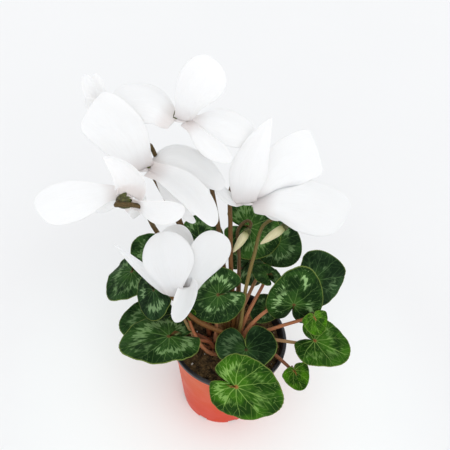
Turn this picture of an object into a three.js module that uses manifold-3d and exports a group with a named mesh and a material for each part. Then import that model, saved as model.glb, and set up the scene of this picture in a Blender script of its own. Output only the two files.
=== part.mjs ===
// A potted cyclamen: a two-colour nursery pot, potting soil, the plant's flat tuber, and on the tuber's
// crown the leaf stalks with their heart-shaped blades, the flower stalks with their corollas, and two buds.
//
// Millimetres, +Z up. The origin is the middle of the pot's foot, on the surface that the pot stands on.
// Every piece is its own closed solid, and neighbours that touch on the real plant keep SEAT_GAP apart.

import * as THREE from "three";
import { mergeVertices } from "three/addons/utils/BufferGeometryUtils.js";
import Module from "manifold-3d";

const wasm = await Module();
wasm.setup();

// ---------------------------------------------------------------- driving dimensions

const SEAT_GAP = 0.4; // between pieces that touch on the real plant

const POT_HEIGHT = 107;
const RIM_RADIUS = 60; // the rim's outer edge
const RIM_DEPTH = 7; // height of the rim's outer band
const RIM_STEP = 2.6; // how far the rim stands out from the wall below it
const FOOT_RADIUS = 42.5;
const POT_WALL = 1.5;
const BASE_RISE = 3; // the base's ring, between its middle pad and the foot, is this far off the floor
const PAD_RADIUS = 12; // the middle pad of the base, which stands on the floor
const DRAIN_HOLES = 8;
const DRAIN_RADIUS = 4;
const DRAIN_CIRCLE = 27;
const NOTCH_WIDTH = 9; // notches in the foot, which let water out
const POT_SEGMENTS = 40;

const SOIL_TOP = 97;
const SOIL_BOTTOM = BASE_RISE + POT_WALL + SEAT_GAP;

const TUBER_RADIUS = 27;
const CROWN_RADIUS = 23; // the flat top of the tuber, where every stalk is seated
const CROWN_HEIGHT = 102;
const TUBER_BOTTOM = 74;

const LEAF_THICKNESS = 1.2;
const PETAL_THICKNESS = 1.0;
const VIEW_HEIGHT = 45; // flowers are laid out as seen from this far above level, rolled by VIEW_ROLL
const VIEW_ROLL = 7;

const LEAF_STALK_RADIUS = 1.7;
const FLOWER_STALK_RADIUS = 2.2;
const BUD_STALK_RADIUS = 1.9;

const TUBE_RADIUS = 5.2; // the short tube that joins the petals
const TUBE_LENGTH = 7;
const CALYX_LENGTH = 11.4; // from the mouth of the tube back to where the stalk joins the sepals

// ---------------------------------------------------------------- finishes

const finish = (color, roughness) =>
  new THREE.MeshStandardMaterial({ color, roughness, metalness: 0 });
const POT = finish(0xc9573a, 0.45);
const SOIL = finish(0x2c1e15, 0.95);
const TUBER = finish(0x5b3d28, 0.9);
const LEAF = finish(0x1f5a2b, 0.5);
const LEAF_STALK = finish(0x9a5340, 0.5);
const FLOWER_STALK = finish(0x6b3f1f, 0.5);
const PETAL = finish(0xf7f6f4, 0.55);
const BUD = finish(0xd9d2a0, 0.55);

// ---------------------------------------------------------------- helpers

const vec = (p) => new THREE.Vector3(...p);
const degrees = THREE.MathUtils.degToRad;

// A closed geometry as a manifold-3d solid, and back again.
function toSolid(geometry) {
  const bare = geometry.clone();
  bare.deleteAttribute("normal");
  bare.deleteAttribute("uv");
  const merged = mergeVertices(bare, 1e-4);
  return new wasm.Manifold(
    new wasm.Mesh({
      numProp: 3,
      vertProperties: new Float32Array(merged.attributes.position.array),
      triVerts: new Uint32Array(merged.index.array),
    }),
  );
}

function toGeometry(solid) {
  const mesh = solid.getMesh();
  const geometry = new THREE.BufferGeometry();
  geometry.setAttribute("position", new THREE.BufferAttribute(mesh.vertProperties.slice(), 3));
  geometry.setIndex(new THREE.BufferAttribute(mesh.triVerts.slice(), 1));
  geometry.computeVertexNormals();
  return geometry;
}

// A solid of revolution about +Z from [radius, height] points.
function revolve(profile, segments) {
  const geometry = new THREE.LatheGeometry(profile.map(([r, z]) => new THREE.Vector2(r, z)), segments);
  return geometry.rotateX(Math.PI / 2);
}

// A round stalk along a curve, thinning from its seat to its far end.
function stalkAlong(curve, radius, sides, steps, endShare) {
  const section = new THREE.Shape();
  section.absarc(0, 0, radius, 0, 2 * Math.PI);
  const geometry = new THREE.ExtrudeGeometry(section, {
    extrudePath: curve,
    steps,
    curveSegments: sides,
    bevelEnabled: false,
  });
  const stations = curve.getSpacedPoints(steps);
  const place = geometry.attributes.position;
  const point = new THREE.Vector3();
  for (let i = 0; i < place.count; i++) {
    point.fromBufferAttribute(place, i);
    let nearest = 0;
    stations.forEach((s, k) => {
      if (s.distanceToSquared(point) < stations[nearest].distanceToSquared(point)) nearest = k;
    });
    const share = THREE.MathUtils.lerp(1, endShare, nearest / steps);
    point.sub(stations[nearest]).multiplyScalar(share).add(stations[nearest]);
    place.setXYZ(i, point.x, point.y, point.z);
  }
  return geometry;
}

const plant = new THREE.Group();
plant.name = "potted_cyclamen";

function add(name, geometry, material) {
  const mesh = new THREE.Mesh(geometry, material.clone());
  mesh.name = name;
  plant.add(mesh);
  return mesh;
}

// ---------------------------------------------------------------- pot, soil and tuber

const wallRadius = (z) => THREE.MathUtils.lerp(FOOT_RADIUS, RIM_RADIUS - RIM_STEP, z / POT_HEIGHT);

function potGeometry() {
  const band = POT_HEIGHT - RIM_DEPTH;
  const inside = (z) => wallRadius(z) - POT_WALL;
  const profile = [
    [0, 0],
    [PAD_RADIUS, 0],
    [PAD_RADIUS + 1.5, BASE_RISE],
    [FOOT_RADIUS - 4.5, BASE_RISE],
    [FOOT_RADIUS - 3, 0],
    [FOOT_RADIUS, 0],
    [wallRadius(band), band],
    [RIM_RADIUS - 0.6, band + 0.4],
    [RIM_RADIUS, POT_HEIGHT - 1.2],
    [RIM_RADIUS - 0.9, POT_HEIGHT],
    [inside(POT_HEIGHT) + 0.7, POT_HEIGHT],
    [inside(POT_HEIGHT), POT_HEIGHT - 1.2],
    [inside(BASE_RISE + POT_WALL), BASE_RISE + POT_WALL],
    [0, BASE_RISE + POT_WALL],
  ];
  let pot = toSolid(revolve(profile, POT_SEGMENTS));
  for (let i = 0; i < DRAIN_HOLES; i++) {
    const turn = ((i + 0.5) / DRAIN_HOLES) * 2 * Math.PI;
    const hole = new THREE.CylinderGeometry(DRAIN_RADIUS, DRAIN_RADIUS, 12, 12).rotateX(Math.PI / 2);
    hole.translate(DRAIN_CIRCLE * Math.cos(turn), DRAIN_CIRCLE * Math.sin(turn), 4);
    const notch = new THREE.BoxGeometry(10, NOTCH_WIDTH, 2 * BASE_RISE - 0.8);
    notch.translate(FOOT_RADIUS - 1, 0, 0).rotateZ(turn);
    pot = pot.subtract(toSolid(hole)).subtract(toSolid(notch));
  }
  return toGeometry(pot);
}

function tuberGeometry(grow) {
  const middle = (CROWN_HEIGHT + TUBER_BOTTOM) / 2;
  return revolve(
    [
      [0, TUBER_BOTTOM - grow],
      [TUBER_RADIUS * 0.62, TUBER_BOTTOM + 2 - grow],
      [TUBER_RADIUS * 0.94, middle - 6],
      [TUBER_RADIUS + grow, middle + 1],
      [TUBER_RADIUS * 0.97 + grow, middle + 8],
      [CROWN_RADIUS + grow, CROWN_HEIGHT + grow],
      [0, CROWN_HEIGHT + grow],
    ],
    24,
  );
}

function soilGeometry() {
  const side = (z) => wallRadius(z) - POT_WALL - SEAT_GAP;
  const soil = revolve(
    [
      [0, SOIL_BOTTOM],
      [side(SOIL_BOTTOM), SOIL_BOTTOM],
      [side(SOIL_TOP - 1), SOIL_TOP - 1],
      [side(SOIL_TOP) - 9, SOIL_TOP - 1.5],
      [TUBER_RADIUS + 8, SOIL_TOP + 0.5],
      [0, SOIL_TOP + 1],
    ],
    POT_SEGMENTS,
  );
  return toGeometry(toSolid(soil).subtract(toSolid(tuberGeometry(SEAT_GAP))));
}

add("pot", potGeometry(), POT);
add("soil", soilGeometry(), SOIL);
add("tuber", tuberGeometry(0), TUBER);

// ---------------------------------------------------------------- leaf blades and their stalks

// The edge of a blade one unit wide, measured from its stalk: the tip is at turn 0, the notch at half a turn.
function bladeEdge(turn, form) {
  const back = Math.abs(THREE.MathUtils.radToDeg(turn));
  const heart = 0.5 + 0.13 * Math.exp(-((back / 38) ** 2));
  const start = form.notch ?? 162;
  const closing = Math.max(0, (back - start) / (180 - start));
  const notch = Math.max(0.12, Math.cos((closing * Math.PI) / 2) ** 0.6);
  return heart * notch;
}

// Height of the blade above its flat plane, for the same unit width.
function bladeHeight(x, y, turn, out, form) {
  const { cup = 0, fold = 0, wave = 0 } = form;
  return (
    cup * 0.5 * out * out +
    fold * (Math.sqrt(y * y + 0.004) - 0.063) +
    wave * out ** 3 * Math.sin(5 * turn)
  );
}

const BLADE_SECTORS = 18;
const BLADE_RINGS = [0.36, 0.7, 1];

// reach stretches the half of the blade towards its tip, and back the lobes on either side of its notch.
function bladeGeometry(width, form) {
  const half = LEAF_THICKNESS / 2;
  const under = BLADE_RINGS.map((r) => [r, -1]);
  const over = BLADE_RINGS.toReversed().map((r) => [r, 1]);
  const geometry = revolve([[0, -1], ...under, ...over, [0, 1]], BLADE_SECTORS);
  const place = geometry.attributes.position;
  for (let i = 0; i < place.count; i++) {
    const out = Math.hypot(place.getX(i), place.getY(i));
    const even = out < 1e-6 ? 0 : Math.atan2(place.getY(i), place.getX(i)) / Math.PI;
    const turn = Math.PI * Math.sign(even) * (1 - (1 - Math.min(1, Math.abs(even))) ** 1.3);
    const flat = out * bladeEdge(turn, form) * Math.cos(turn);
    const x = flat * (flat > 0 ? (form.reach ?? 1.05) : (form.back ?? 1));
    const y = out * bladeEdge(turn, form) * Math.sin(turn);
    const z = bladeHeight(x, y, turn, out, form) * width + Math.sign(place.getZ(i)) * half;
    place.setXYZ(i, x * width, y * width, z);
  }
  return geometry;
}

// Each leaf is placed round the pot: turn is its compass side, out how far its blade's foot stands from the
// pot's axis, and over how high it is above the rim. heading is the compass turn of the midrib, dip how far
// the tip points below level, and bank the roll about the midrib. seat is the stalk's place on the crown as
// [turn, radius], and rise is how far the stalk keeps to its first, upright direction.
const LEAVES = [
  // over the front rim, and the three that fill the middle
  {
    turn: -80, out: 65, over: 10, heading: -15, dip: 5, bank: 65, width: 70, seat: [-82, 20.5], rise: 20,
    form: { cup: -0.06, back: 0.75, wave: 0.02 },
  },
  {
    turn: -155, out: 65, over: 25, heading: -155, dip: -5, bank: 15, width: 70, seat: [-138, 20.5],
    rise: 30, form: { cup: -0.12, fold: 0.12, reach: 1.1, back: 0.85, wave: 0.02 },
  },
  {
    turn: -58, out: 33, over: 19, heading: -80, dip: -5, bank: 5, width: 60, seat: [-60, 15], rise: 25,
    form: { cup: 0.1, fold: 0.1, reach: 0.7, notch: 145 },
  },
  {
    turn: 150, out: 19, over: 52, heading: -160, dip: 10, bank: -45, width: 55, seat: [-150, 15], rise: 65,
    form: { cup: -0.1, fold: 0.2, reach: 1, wave: 0.02 },
  },
  // the left side, from the front to the back, and the low one beneath them
  {
    turn: 175, out: 80, over: 50, heading: -80, dip: 30, bank: 40, width: 45, seat: [175, 20.5], rise: 38,
    form: { cup: -0.08 },
  },
  {
    turn: 160, out: 115, over: 35, heading: -120, dip: 15, bank: 20, width: 55, seat: [158, 20.5], rise: 35,
    form: { cup: -0.14, wave: 0.03 },
  },
  {
    turn: 150, out: 95, over: 55, heading: 145, dip: -5, bank: -15, width: 50, seat: [148, 15], rise: 40,
    form: { cup: -0.1 },
  },
  {
    turn: 178, out: 79, over: 8, heading: -165, dip: 10, bank: -15, width: 50, seat: [-160, 20], rise: 10,
    lead: 0.1, form: { cup: -0.08, reach: 1.15, back: 0.9, wave: 0.02 },
  },
  // the right side, from the top down to the smallest one, which hangs below the rim
  {
    turn: 10, out: 60, over: 50, heading: 75, dip: -80, bank: 15, width: 55, seat: [8, 15], rise: 38,
    form: { cup: -0.12, fold: 0.1, reach: 1.35, notch: 150 },
  },
  {
    turn: 65, out: 95, over: 55, heading: -30, dip: 20, bank: 35, width: 50, seat: [62, 15], rise: 50,
    lead: 0.5, form: { cup: -0.08, reach: 0.9 },
  },
  {
    turn: 35, out: 100, over: 35, heading: 25, dip: 10, bank: 55, width: 65, seat: [28, 20.5], rise: 12,
    lead: 0.3, form: { cup: -0.1, back: 0.5, wave: 0.03 },
  },
  {
    turn: 2, out: 80, over: 44, heading: -60, dip: 40, bank: 0, width: 28, seat: [3, 20.5], rise: 12,
    lead: 0.08, form: { cup: 0.1, back: 0.4 },
  },
  {
    turn: -5, out: 86, over: 19, heading: -20, dip: 0, bank: 5, width: 55, seat: [-12, 20.5], rise: 26,
    form: { cup: -0.06, fold: 0.1, back: 0.7, wave: 0.02, notch: 150 },
  },
  {
    turn: -25, out: 75, over: -2, heading: -55, dip: 30, bank: 0, width: 30, seat: [-34, 20.5], rise: 44,
    lead: 0.1, form: { cup: 0.2, back: 0.4 },
  },
  // the middle and the back
  {
    turn: 55, out: 55, over: 50, heading: 120, dip: 5, bank: 10, width: 30, seat: [38, 15], rise: 34,
    form: { cup: -0.1 },
  },
  {
    turn: 40, out: 45, over: 15, heading: -125, dip: 10, bank: -15, width: 30, seat: [52, 20.5], rise: 14,
    form: { cup: 0.1, fold: 0.1 },
  },
  {
    turn: 80, out: 80, over: 30, heading: 60, dip: 5, bank: 40, width: 55, seat: [104, 15], rise: 55,
    form: { cup: -0.1, wave: 0.02 },
  },
  {
    turn: 85, out: 80, over: 80, heading: 15, dip: 25, bank: 30, width: 65, seat: [78, 20.5], rise: 80,
    form: { cup: -0.1, back: 0.85, wave: 0.03 },
  },
  {
    turn: 120, out: 85, over: 60, heading: 105, dip: -10, bank: -20, width: 50, seat: [128, 20.5], rise: 48,
    form: { cup: -0.1 },
  },
];

const roundThePot = ({ turn, out, over }) =>
  vec([out * Math.cos(degrees(turn)), out * Math.sin(degrees(turn)), POT_HEIGHT + over]);

const turned = (leaf) =>
  new THREE.Euler(degrees(leaf.bank), degrees(leaf.dip), degrees(leaf.heading), "ZYX");

const crownSeat = ([turn, radius]) =>
  new THREE.Vector3(
    radius * Math.cos(degrees(turn)),
    radius * Math.sin(degrees(turn)),
    CROWN_HEIGHT + SEAT_GAP + 0.2,
  );

LEAVES.forEach((leaf, i) => {
  const number = String(i + 1).padStart(2, "0");
  const blade = add(`leaf_blade_${number}`, bladeGeometry(leaf.width, leaf.form), LEAF);
  blade.rotation.copy(turned(leaf));
  blade.position.copy(roundThePot(leaf));

  const down = new THREE.Vector3(0, 0, -1).applyEuler(turned(leaf));
  const end = roundThePot(leaf).addScaledVector(down, LEAF_THICKNESS / 2 + SEAT_GAP);
  const seat = crownSeat(leaf.seat);
  const span = seat.distanceTo(end);
  const first = seat.clone().add(new THREE.Vector3(seat.x * 0.2, seat.y * 0.2, leaf.rise));
  const last = end.clone().addScaledVector(down, span * (leaf.lead ?? 0.28));
  const path = new THREE.CubicBezierCurve3(seat, first, last, end);
  add(`leaf_stalk_${number}`, stalkAlong(path, LEAF_STALK_RADIUS, 3, 9, 0.85), LEAF_STALK);
});

// ---------------------------------------------------------------- flowers

// Half the width of a petal at a share of its length, for a petal one unit wide.
function petalHalfWidth(share, petal) {
  const { blunt = 2.2, base = 0.34, widest = 0.58 } = petal;
  if (share < widest) {
    const s = share / widest;
    return 0.5 * (base + (1 - base) * s * s * (3 - 2 * s));
  }
  const s = (share - widest) / (1 - widest);
  return 0.5 * Math.max(0.22, (1 - s ** blunt) ** (1 / blunt));
}

// Directions as a flower is seen from the front and above: across, up and straight ahead, away from the front.
const ahead = new THREE.Vector3(0, Math.cos(degrees(VIEW_HEIGHT)), -Math.sin(degrees(VIEW_HEIGHT)));
const upright = new THREE.Vector3(0, Math.sin(degrees(VIEW_HEIGHT)), Math.cos(degrees(VIEW_HEIGHT)));
const across = new THREE.Vector3(1, 0, 0).applyAxisAngle(ahead, -degrees(VIEW_ROLL));
const up = upright.clone().applyAxisAngle(ahead, -degrees(VIEW_ROLL));
const lean = (x, y, z) =>
  new THREE.Vector3().addScaledVector(across, x).addScaledVector(up, y).addScaledVector(ahead, z);

// A place off a mouth: the way it lies (0 right, 90 up), how far, and how much nearer the front.
const leaning = (aim, length, near) =>
  lean(length * Math.cos(degrees(aim)), length * Math.sin(degrees(aim)), -near);

// A point of a petal's sheet, and the way that its flat side looks there: it leaves the mouth outwards, bends
// and runs to its tip, and its edges roll.
function petalPoint(share, side, petal, mouth) {
  const tip = leaning(petal.aim, petal.length, petal.near);
  const bend = leaning(petal.leaves, petal.sweep, petal.early);
  const outwards = bend.clone().addScaledVector(mouth, -bend.dot(mouth)).normalize();
  const root = outwards.clone().multiplyScalar(TUBE_RADIUS - 1.2).addScaledVector(mouth, -1);
  const curve = new THREE.QuadraticBezierCurve3(root, bend, tip);
  const along = curve.getTangent(share);
  const turnedBack = (share / 0.09) * Math.exp(1 - share / 0.09);
  const [first, last] = petal.face.map((face) => lean(...face));
  const flat = first.lerp(last, share);
  flat.addScaledVector(along, -flat.dot(along)).normalize();
  const sideways = flat.clone().cross(along);
  const half = petalHalfWidth(share, petal) * petal.width;
  const [rollBase, rollTip] = petal.roll ?? [-0.3, -0.2];
  const roll = THREE.MathUtils.lerp(rollBase, rollTip, share);
  const reach = (half * Math.sin(roll * side)) / roll;
  const lift = (half * (1 - Math.cos(roll * side))) / roll;
  const point = curve
    .getPoint(share)
    .addScaledVector(outwards, (petal.flare ?? 4) * turnedBack)
    .addScaledVector(mouth, 1.5 * turnedBack)
    .addScaledVector(sideways, reach)
    .addScaledVector(flat, lift);
  const normal = flat.multiplyScalar(Math.cos(roll * side)).addScaledVector(sideways, -Math.sin(roll * side));
  return { point, normal };
}

function petalGeometry(petal, mouth) {
  const geometry = new THREE.BoxGeometry(1, 1, 1, 8, 4, 1);
  const place = geometry.attributes.position;
  for (let i = 0; i < place.count; i++) {
    const { point, normal } = petalPoint(place.getX(i) + 0.5, 2 * place.getY(i), petal, mouth);
    point.addScaledVector(normal, place.getZ(i) * PETAL_THICKNESS);
    place.setXYZ(i, point.x, point.y, point.z);
  }
  return geometry;
}

// The petals' tube, with its mouth at the origin and facing along +Z.
const tubeProfile = [
  [0, -TUBE_LENGTH],
  [TUBE_RADIUS * 0.7, -TUBE_LENGTH * 0.95],
  [TUBE_RADIUS, -TUBE_LENGTH * 0.5],
  [TUBE_RADIUS, 0],
  [TUBE_RADIUS - 1.3, 0],
  [TUBE_RADIUS * 0.5, -TUBE_LENGTH * 0.75],
  [0, -TUBE_LENGTH * 0.8],
];

// The cup of sepals round the back of the tube.
const calyxProfile = [
  [0, -CALYX_LENGTH],
  [TUBE_RADIUS * 0.5, -CALYX_LENGTH],
  [TUBE_RADIUS + 0.4, -TUBE_LENGTH * 1.15],
  [TUBE_RADIUS + 1.4, -TUBE_LENGTH * 0.55],
  [TUBE_RADIUS + 0.6, -TUBE_LENGTH * 0.55],
  [TUBE_RADIUS * 0.75, -TUBE_LENGTH - 0.75],
  [0, -TUBE_LENGTH - 0.75],
];

// The room that the sepals take up among the petals, which stay clear of it by the gap.
const calyxRoom = [
  [0, -CALYX_LENGTH - SEAT_GAP],
  [TUBE_RADIUS * 0.5 + SEAT_GAP, -CALYX_LENGTH - SEAT_GAP],
  [TUBE_RADIUS + 0.4 + SEAT_GAP, -TUBE_LENGTH * 1.15],
  [TUBE_RADIUS + 1.4 + SEAT_GAP, -TUBE_LENGTH * 0.55 + SEAT_GAP],
  [0, -TUBE_LENGTH * 0.55 + SEAT_GAP],
];

function calyxGeometry(profile, sepals) {
  const geometry = revolve(profile, 2 * sepals);
  const place = geometry.attributes.position;
  for (let i = 0; i < place.count; i++) {
    if (place.getZ(i) < -TUBE_LENGTH * 0.7) continue;
    const turn = Math.atan2(place.getY(i), place.getX(i));
    place.setZ(i, place.getZ(i) - 1.2 + 1.2 * Math.cos(sepals * turn));
  }
  return geometry;
}

// Each flower is placed round the pot as a leaf is, by the middle of its corolla's mouth. tilt is how far the
// mouth looks away from straight down, and looks is the compass turn that it looks to. The stalk comes up on
// the calyx's side that hook gives, swing away from it. On its way it leans by a corner, given as [turn, out]
// round the pot, at the share upright of its height. aim, length and near place a petal's tip. The petal sets
// out towards leaves, and bends round a place sweep away that is early nearer the front. face is the way that
// its flat side looks at its base and at its tip, and roll is how far its edges turn.
const FLOWERS = [
  {
    turn: 140, out: 85, over: 220, tilt: 30, looks: -80, seat: [105, 9.5], hook: 60, swing: 14,
    by: [110, 75], upright: 0.5,
    petals: [
      {
        aim: 52, length: 51, near: 35, leaves: 66, sweep: 20, early: 30,
        face: [[0.1, -0.4, -1], [0, 0, -1]], width: 39, base: 0.45, widest: 0.66, blunt: 2.4,
        roll: [-0.8, -0.3],
      },
      {
        aim: 75, length: 50, near: 10, leaves: 85, sweep: 28, early: 0,
        face: [[0.6, 0, -0.8], [0.5, 0, -0.9]], width: 18, roll: [0.4, 0.2],
      },
      {
        aim: 165, length: 65, near: -20, leaves: 135, sweep: 40, early: -5,
        face: [[0, 0.3, -1], [0, 0.2, -1]], width: 42, base: 0.55, widest: 0.6, blunt: 2.6,
        roll: [-0.9, -0.4],
      },
      {
        aim: -10, length: 65, near: -30, leaves: 5, sweep: 35, early: -8,
        face: [[-0.2, 0, -1], [0.1, 0.1, -1]], width: 32, roll: [-0.5, -0.3],
      },
      {
        aim: -40, length: 55, near: 15, leaves: -40, sweep: 28, early: 5,
        face: [[0.3, 0.3, -1], [0.2, 0.2, -1]], width: 22, base: 0.6, blunt: 1.7, roll: [-1, -0.6],
      },
    ],
  },
  {
    turn: 155, out: 105, over: 170, tilt: 30, looks: -70, seat: [165, 9.5], hook: 50, swing: 14,
    by: [140, 75], upright: 0.5,
    petals: [
      {
        aim: 130, length: 65, near: 30, leaves: 105, sweep: 30, early: 35,
        face: [[0.2, -0.4, -1], [0, 0, -1]], width: 45, base: 0.58, widest: 0.55, blunt: 5,
        roll: [-0.5, -0.15],
      },
      {
        aim: -13, length: 72, near: 0, leaves: 48, sweep: 40, early: -8,
        face: [[0.1, 0.2, -1], [0.3, 0.2, -1]], width: 32, base: 0.5, widest: 0.5, roll: [-0.8, -0.4],
      },
      {
        aim: -38, length: 80, near: 15, leaves: -12, sweep: 40, early: 15,
        face: [[0.2, 0.2, -1], [0.4, 0.3, -0.8]], width: 29, base: 0.6, widest: 0.5, roll: [0.8, 0.5],
      },
      {
        aim: -45, length: 65, near: 5, leaves: -45, sweep: 32, early: 0,
        face: [[-0.7, -0.5, -0.5], [-0.6, -0.5, -0.6]], width: 20, roll: [0.5, 0.4],
      },
      {
        aim: 135, length: 40, near: -20, leaves: 130, sweep: 20, early: -10,
        face: [[0.2, 0, -1], [0.2, 0, -1]], width: 26,
      },
    ],
  },
  {
    turn: 180, out: 100, over: 175, tilt: 75, looks: 55, seat: [195, 9.5], hook: 20, swing: 20,
    by: [150, 100], upright: 0.5,
    petals: [
      {
        aim: -170, length: 65, near: 35, leaves: 170, sweep: 35, early: 18,
        face: [[0, 0.3, -1], [0.1, 0.2, -1]], width: 36, widest: 0.62, blunt: 2.8, roll: [-0.6, -0.3],
      },
      {
        aim: 115, length: 35, near: 30, leaves: 70, sweep: 22, early: 10,
        face: [[0.1, -0.6, -0.8], [0.4, -0.4, -0.8]], width: 35, base: 0.9, widest: 0.3, blunt: 1.4,
        roll: [1.5, 1],
      },
      {
        aim: -12, length: 48, near: 4, leaves: -24, sweep: 24, early: 12,
        face: [[0, -0.7, -0.7], [0.1, -0.6, -0.7]], width: 27, base: 0.5, roll: [0.8, 0.5],
      },
      {
        aim: -40, length: 10, near: -40, leaves: -40, sweep: 8, early: -20,
        face: [[0.7, -0.3, -0.6], [0.7, -0.3, -0.6]], width: 24,
      },
      {
        aim: 180, length: 45, near: -20, leaves: 180, sweep: 22, early: -10,
        face: [[0, -0.3, -1], [0, -0.3, -1]], width: 24,
      },
    ],
  },
  {
    turn: 150, out: 150, over: 185, tilt: 30, looks: -20, seat: [135, 9.5], hook: 30, swing: 14,
    by: [135, 90], upright: 0.5,
    petals: [
      {
        aim: 112, length: 49, near: 25, leaves: 122, sweep: 28, early: 10,
        face: [[0.3, 0, -1], [0.2, 0, -1]], width: 14, roll: [0.6, 0.3],
      },
      {
        aim: 103, length: 50, near: 15, leaves: 113, sweep: 28, early: 5,
        face: [[0.5, 0, -0.9], [0.3, 0, -1]], width: 14, roll: [0.6, 0.3],
      },
      {
        aim: 122, length: 30, near: 5, leaves: 118, sweep: 18, early: 0,
        face: [[0.3, 0.3, -1], [0.3, 0.3, -1]], width: 14,
      },
      {
        aim: 130, length: 40, near: -10, leaves: 125, sweep: 20, early: -5,
        face: [[0.5, 0.4, -0.8], [0.5, 0.4, -0.8]], width: 14,
      },
      {
        aim: 125, length: 30, near: 25, leaves: 110, sweep: 18, early: 12,
        face: [[0.6, 0, -0.8], [0.6, 0, -0.8]], width: 14,
      },
    ],
  },
  {
    turn: 90, out: 45, over: 145, tilt: 30, looks: -80, seat: [75, 9.5], hook: 160, swing: 16,
    by: [105, 45], upright: 0.5,
    petals: [
      {
        aim: 75, length: 75, near: 35, leaves: 100, sweep: 30, early: 30,
        face: [[0, -0.4, -1], [-0.1, -0.1, -1]], width: 36, base: 0.6, widest: 0.38, blunt: 1.35,
        roll: [-0.6, -0.4],
      },
      {
        aim: 37, length: 76, near: 25, leaves: 58, sweep: 40, early: 10,
        face: [[-0.1, -0.2, -1], [0.1, 0, -1]], width: 45, base: 0.4, widest: 0.72, blunt: 6,
        roll: [-0.3, -0.15],
      },
      {
        aim: -10, length: 85, near: 30, leaves: 10, sweep: 45, early: 15,
        face: [[-0.1, 0.1, -1], [0.1, 0.2, -1]], width: 50, base: 0.4, widest: 0.6, blunt: 3,
        roll: [-0.5, -0.2],
      },
      {
        aim: 150, length: 35, near: 15, leaves: 175, sweep: 15, early: 5,
        face: [[0.3, 0.5, -0.8], [0.3, 0.4, -1]], width: 14,
      },
      {
        aim: -10, length: 40, near: -20, leaves: -5, sweep: 20, early: -10,
        face: [[0.3, 0.5, -0.8], [0.3, 0.5, -0.8]], width: 26, roll: [-0.4, -0.3],
      },
    ],
  },
  {
    turn: -165, out: 55, over: 75, tilt: 20, looks: -70, seat: [240, 9.5], hook: 190, swing: 10,
    by: [200, 50], upright: 0.4,
    petals: [
      {
        aim: 100, length: 60, near: 30, leaves: 105, sweep: 25, early: 30,
        face: [[0, -0.3, -1], [0, 0.2, -1]], width: 48, base: 0.25, widest: 0.56, blunt: 2.1, flare: 2.5,
        roll: [-0.5, -0.4],
      },
      {
        aim: 55, length: 70, near: 30, leaves: 50, sweep: 35, early: 10,
        face: [[0.3, -0.2, -1], [0.1, 0, -1]], width: 36, widest: 0.68, roll: [-0.4, -0.2],
      },
      {
        aim: -90, length: 20, near: 35, leaves: 50, sweep: 30, early: 0,
        face: [[-0.3, 0.2, -1], [-0.1, -0.2, -1]], width: 21, base: 0.65, widest: 0.7, blunt: 2.4,
        roll: [1.1, 0.6],
      },
      {
        aim: 140, length: 75, near: 15, leaves: 145, sweep: 35, early: 5,
        face: [[-0.3, -0.6, -0.7], [-0.2, -0.4, -0.9]], width: 16, base: 0.5, widest: 0.35, blunt: 1.3,
        roll: [0.3, 0.2],
      },
      {
        aim: 95, length: 65, near: 0, leaves: 90, sweep: 35, early: -5,
        face: [[0.1, -0.2, -1], [0.3, 0, -1]], width: 36, blunt: 2.6, roll: [0.4, 0.5],
      },
    ],
  },
];

// A stalk rises from the crown, leans out, and turns over into the back of a calyx.
function hookedPath(flower, back, facing) {
  const hook = degrees(flower.hook);
  const side = vec([Math.cos(hook), Math.sin(hook), 0]).multiplyScalar(flower.swing);
  const seat = crownSeat(flower.seat);
  const start = seat.clone().add(vec([seat.x * 0.1, seat.y * 0.1, 18]));
  const below = back.clone().addScaledVector(facing, -4).add(side).add(vec([0, 0, -6]));
  const [turn, out] = [degrees(flower.by[0]), flower.by[1]];
  const height = THREE.MathUtils.lerp(start.z, below.z, flower.upright);
  const corner = vec([out * Math.cos(turn), out * Math.sin(turn), height]);
  const rising = new THREE.QuadraticBezierCurve3(start, corner, below);
  const top = back.clone().addScaledVector(facing, -10).addScaledVector(side, 0.55);
  const neck = back.clone().addScaledVector(facing, -7).addScaledVector(side, 0.12);
  const marks = [seat, start, rising.getPoint(0.35), rising.getPoint(0.7), below, top, neck, back];
  return new THREE.CatmullRomCurve3(marks, false, "centripetal");
}

FLOWERS.forEach((flower, i) => {
  const number = i + 1;
  const tilt = degrees(flower.tilt);
  const looks = degrees(flower.looks);
  const mouth = vec([Math.sin(tilt) * Math.cos(looks), Math.sin(tilt) * Math.sin(looks), -Math.cos(tilt)]);
  const middle = roundThePot(flower);
  const face = new THREE.Quaternion().setFromUnitVectors(new THREE.Vector3(0, 0, 1), mouth);

  const back = middle.clone().addScaledVector(mouth, -CALYX_LENGTH + 0.8);
  const path = hookedPath(flower, back, mouth);
  const stalk = toSolid(stalkAlong(path, FLOWER_STALK_RADIUS, 3, 20, 0.8));
  const stalkRoom = toSolid(stalkAlong(path, FLOWER_STALK_RADIUS + 2 * SEAT_GAP, 3, 20, 0.8));
  const placed = (geometry) => toSolid(geometry.applyQuaternion(face).translate(...middle.toArray()));
  const calyx = placed(calyxGeometry(calyxProfile, 5));

  let petals = null;
  for (const petal of flower.petals) {
    const sheet = toSolid(petalGeometry(petal, mouth).translate(...middle.toArray()));
    petals = petals ? petals.add(sheet) : sheet;
  }
  petals = petals.subtract(placed(revolve(calyxRoom, 10))).subtract(stalkRoom);
  const corolla = petals.add(placed(revolve(tubeProfile, 10)));
  const [whole] = corolla.decompose().sort((a, b) => b.volume() - a.volume());
  add(`flower_${number}_corolla`, toGeometry(whole), PETAL);
  add(`flower_${number}_stalk`, toGeometry(stalk.add(calyx)), FLOWER_STALK);
});

// ---------------------------------------------------------------- buds

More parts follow.
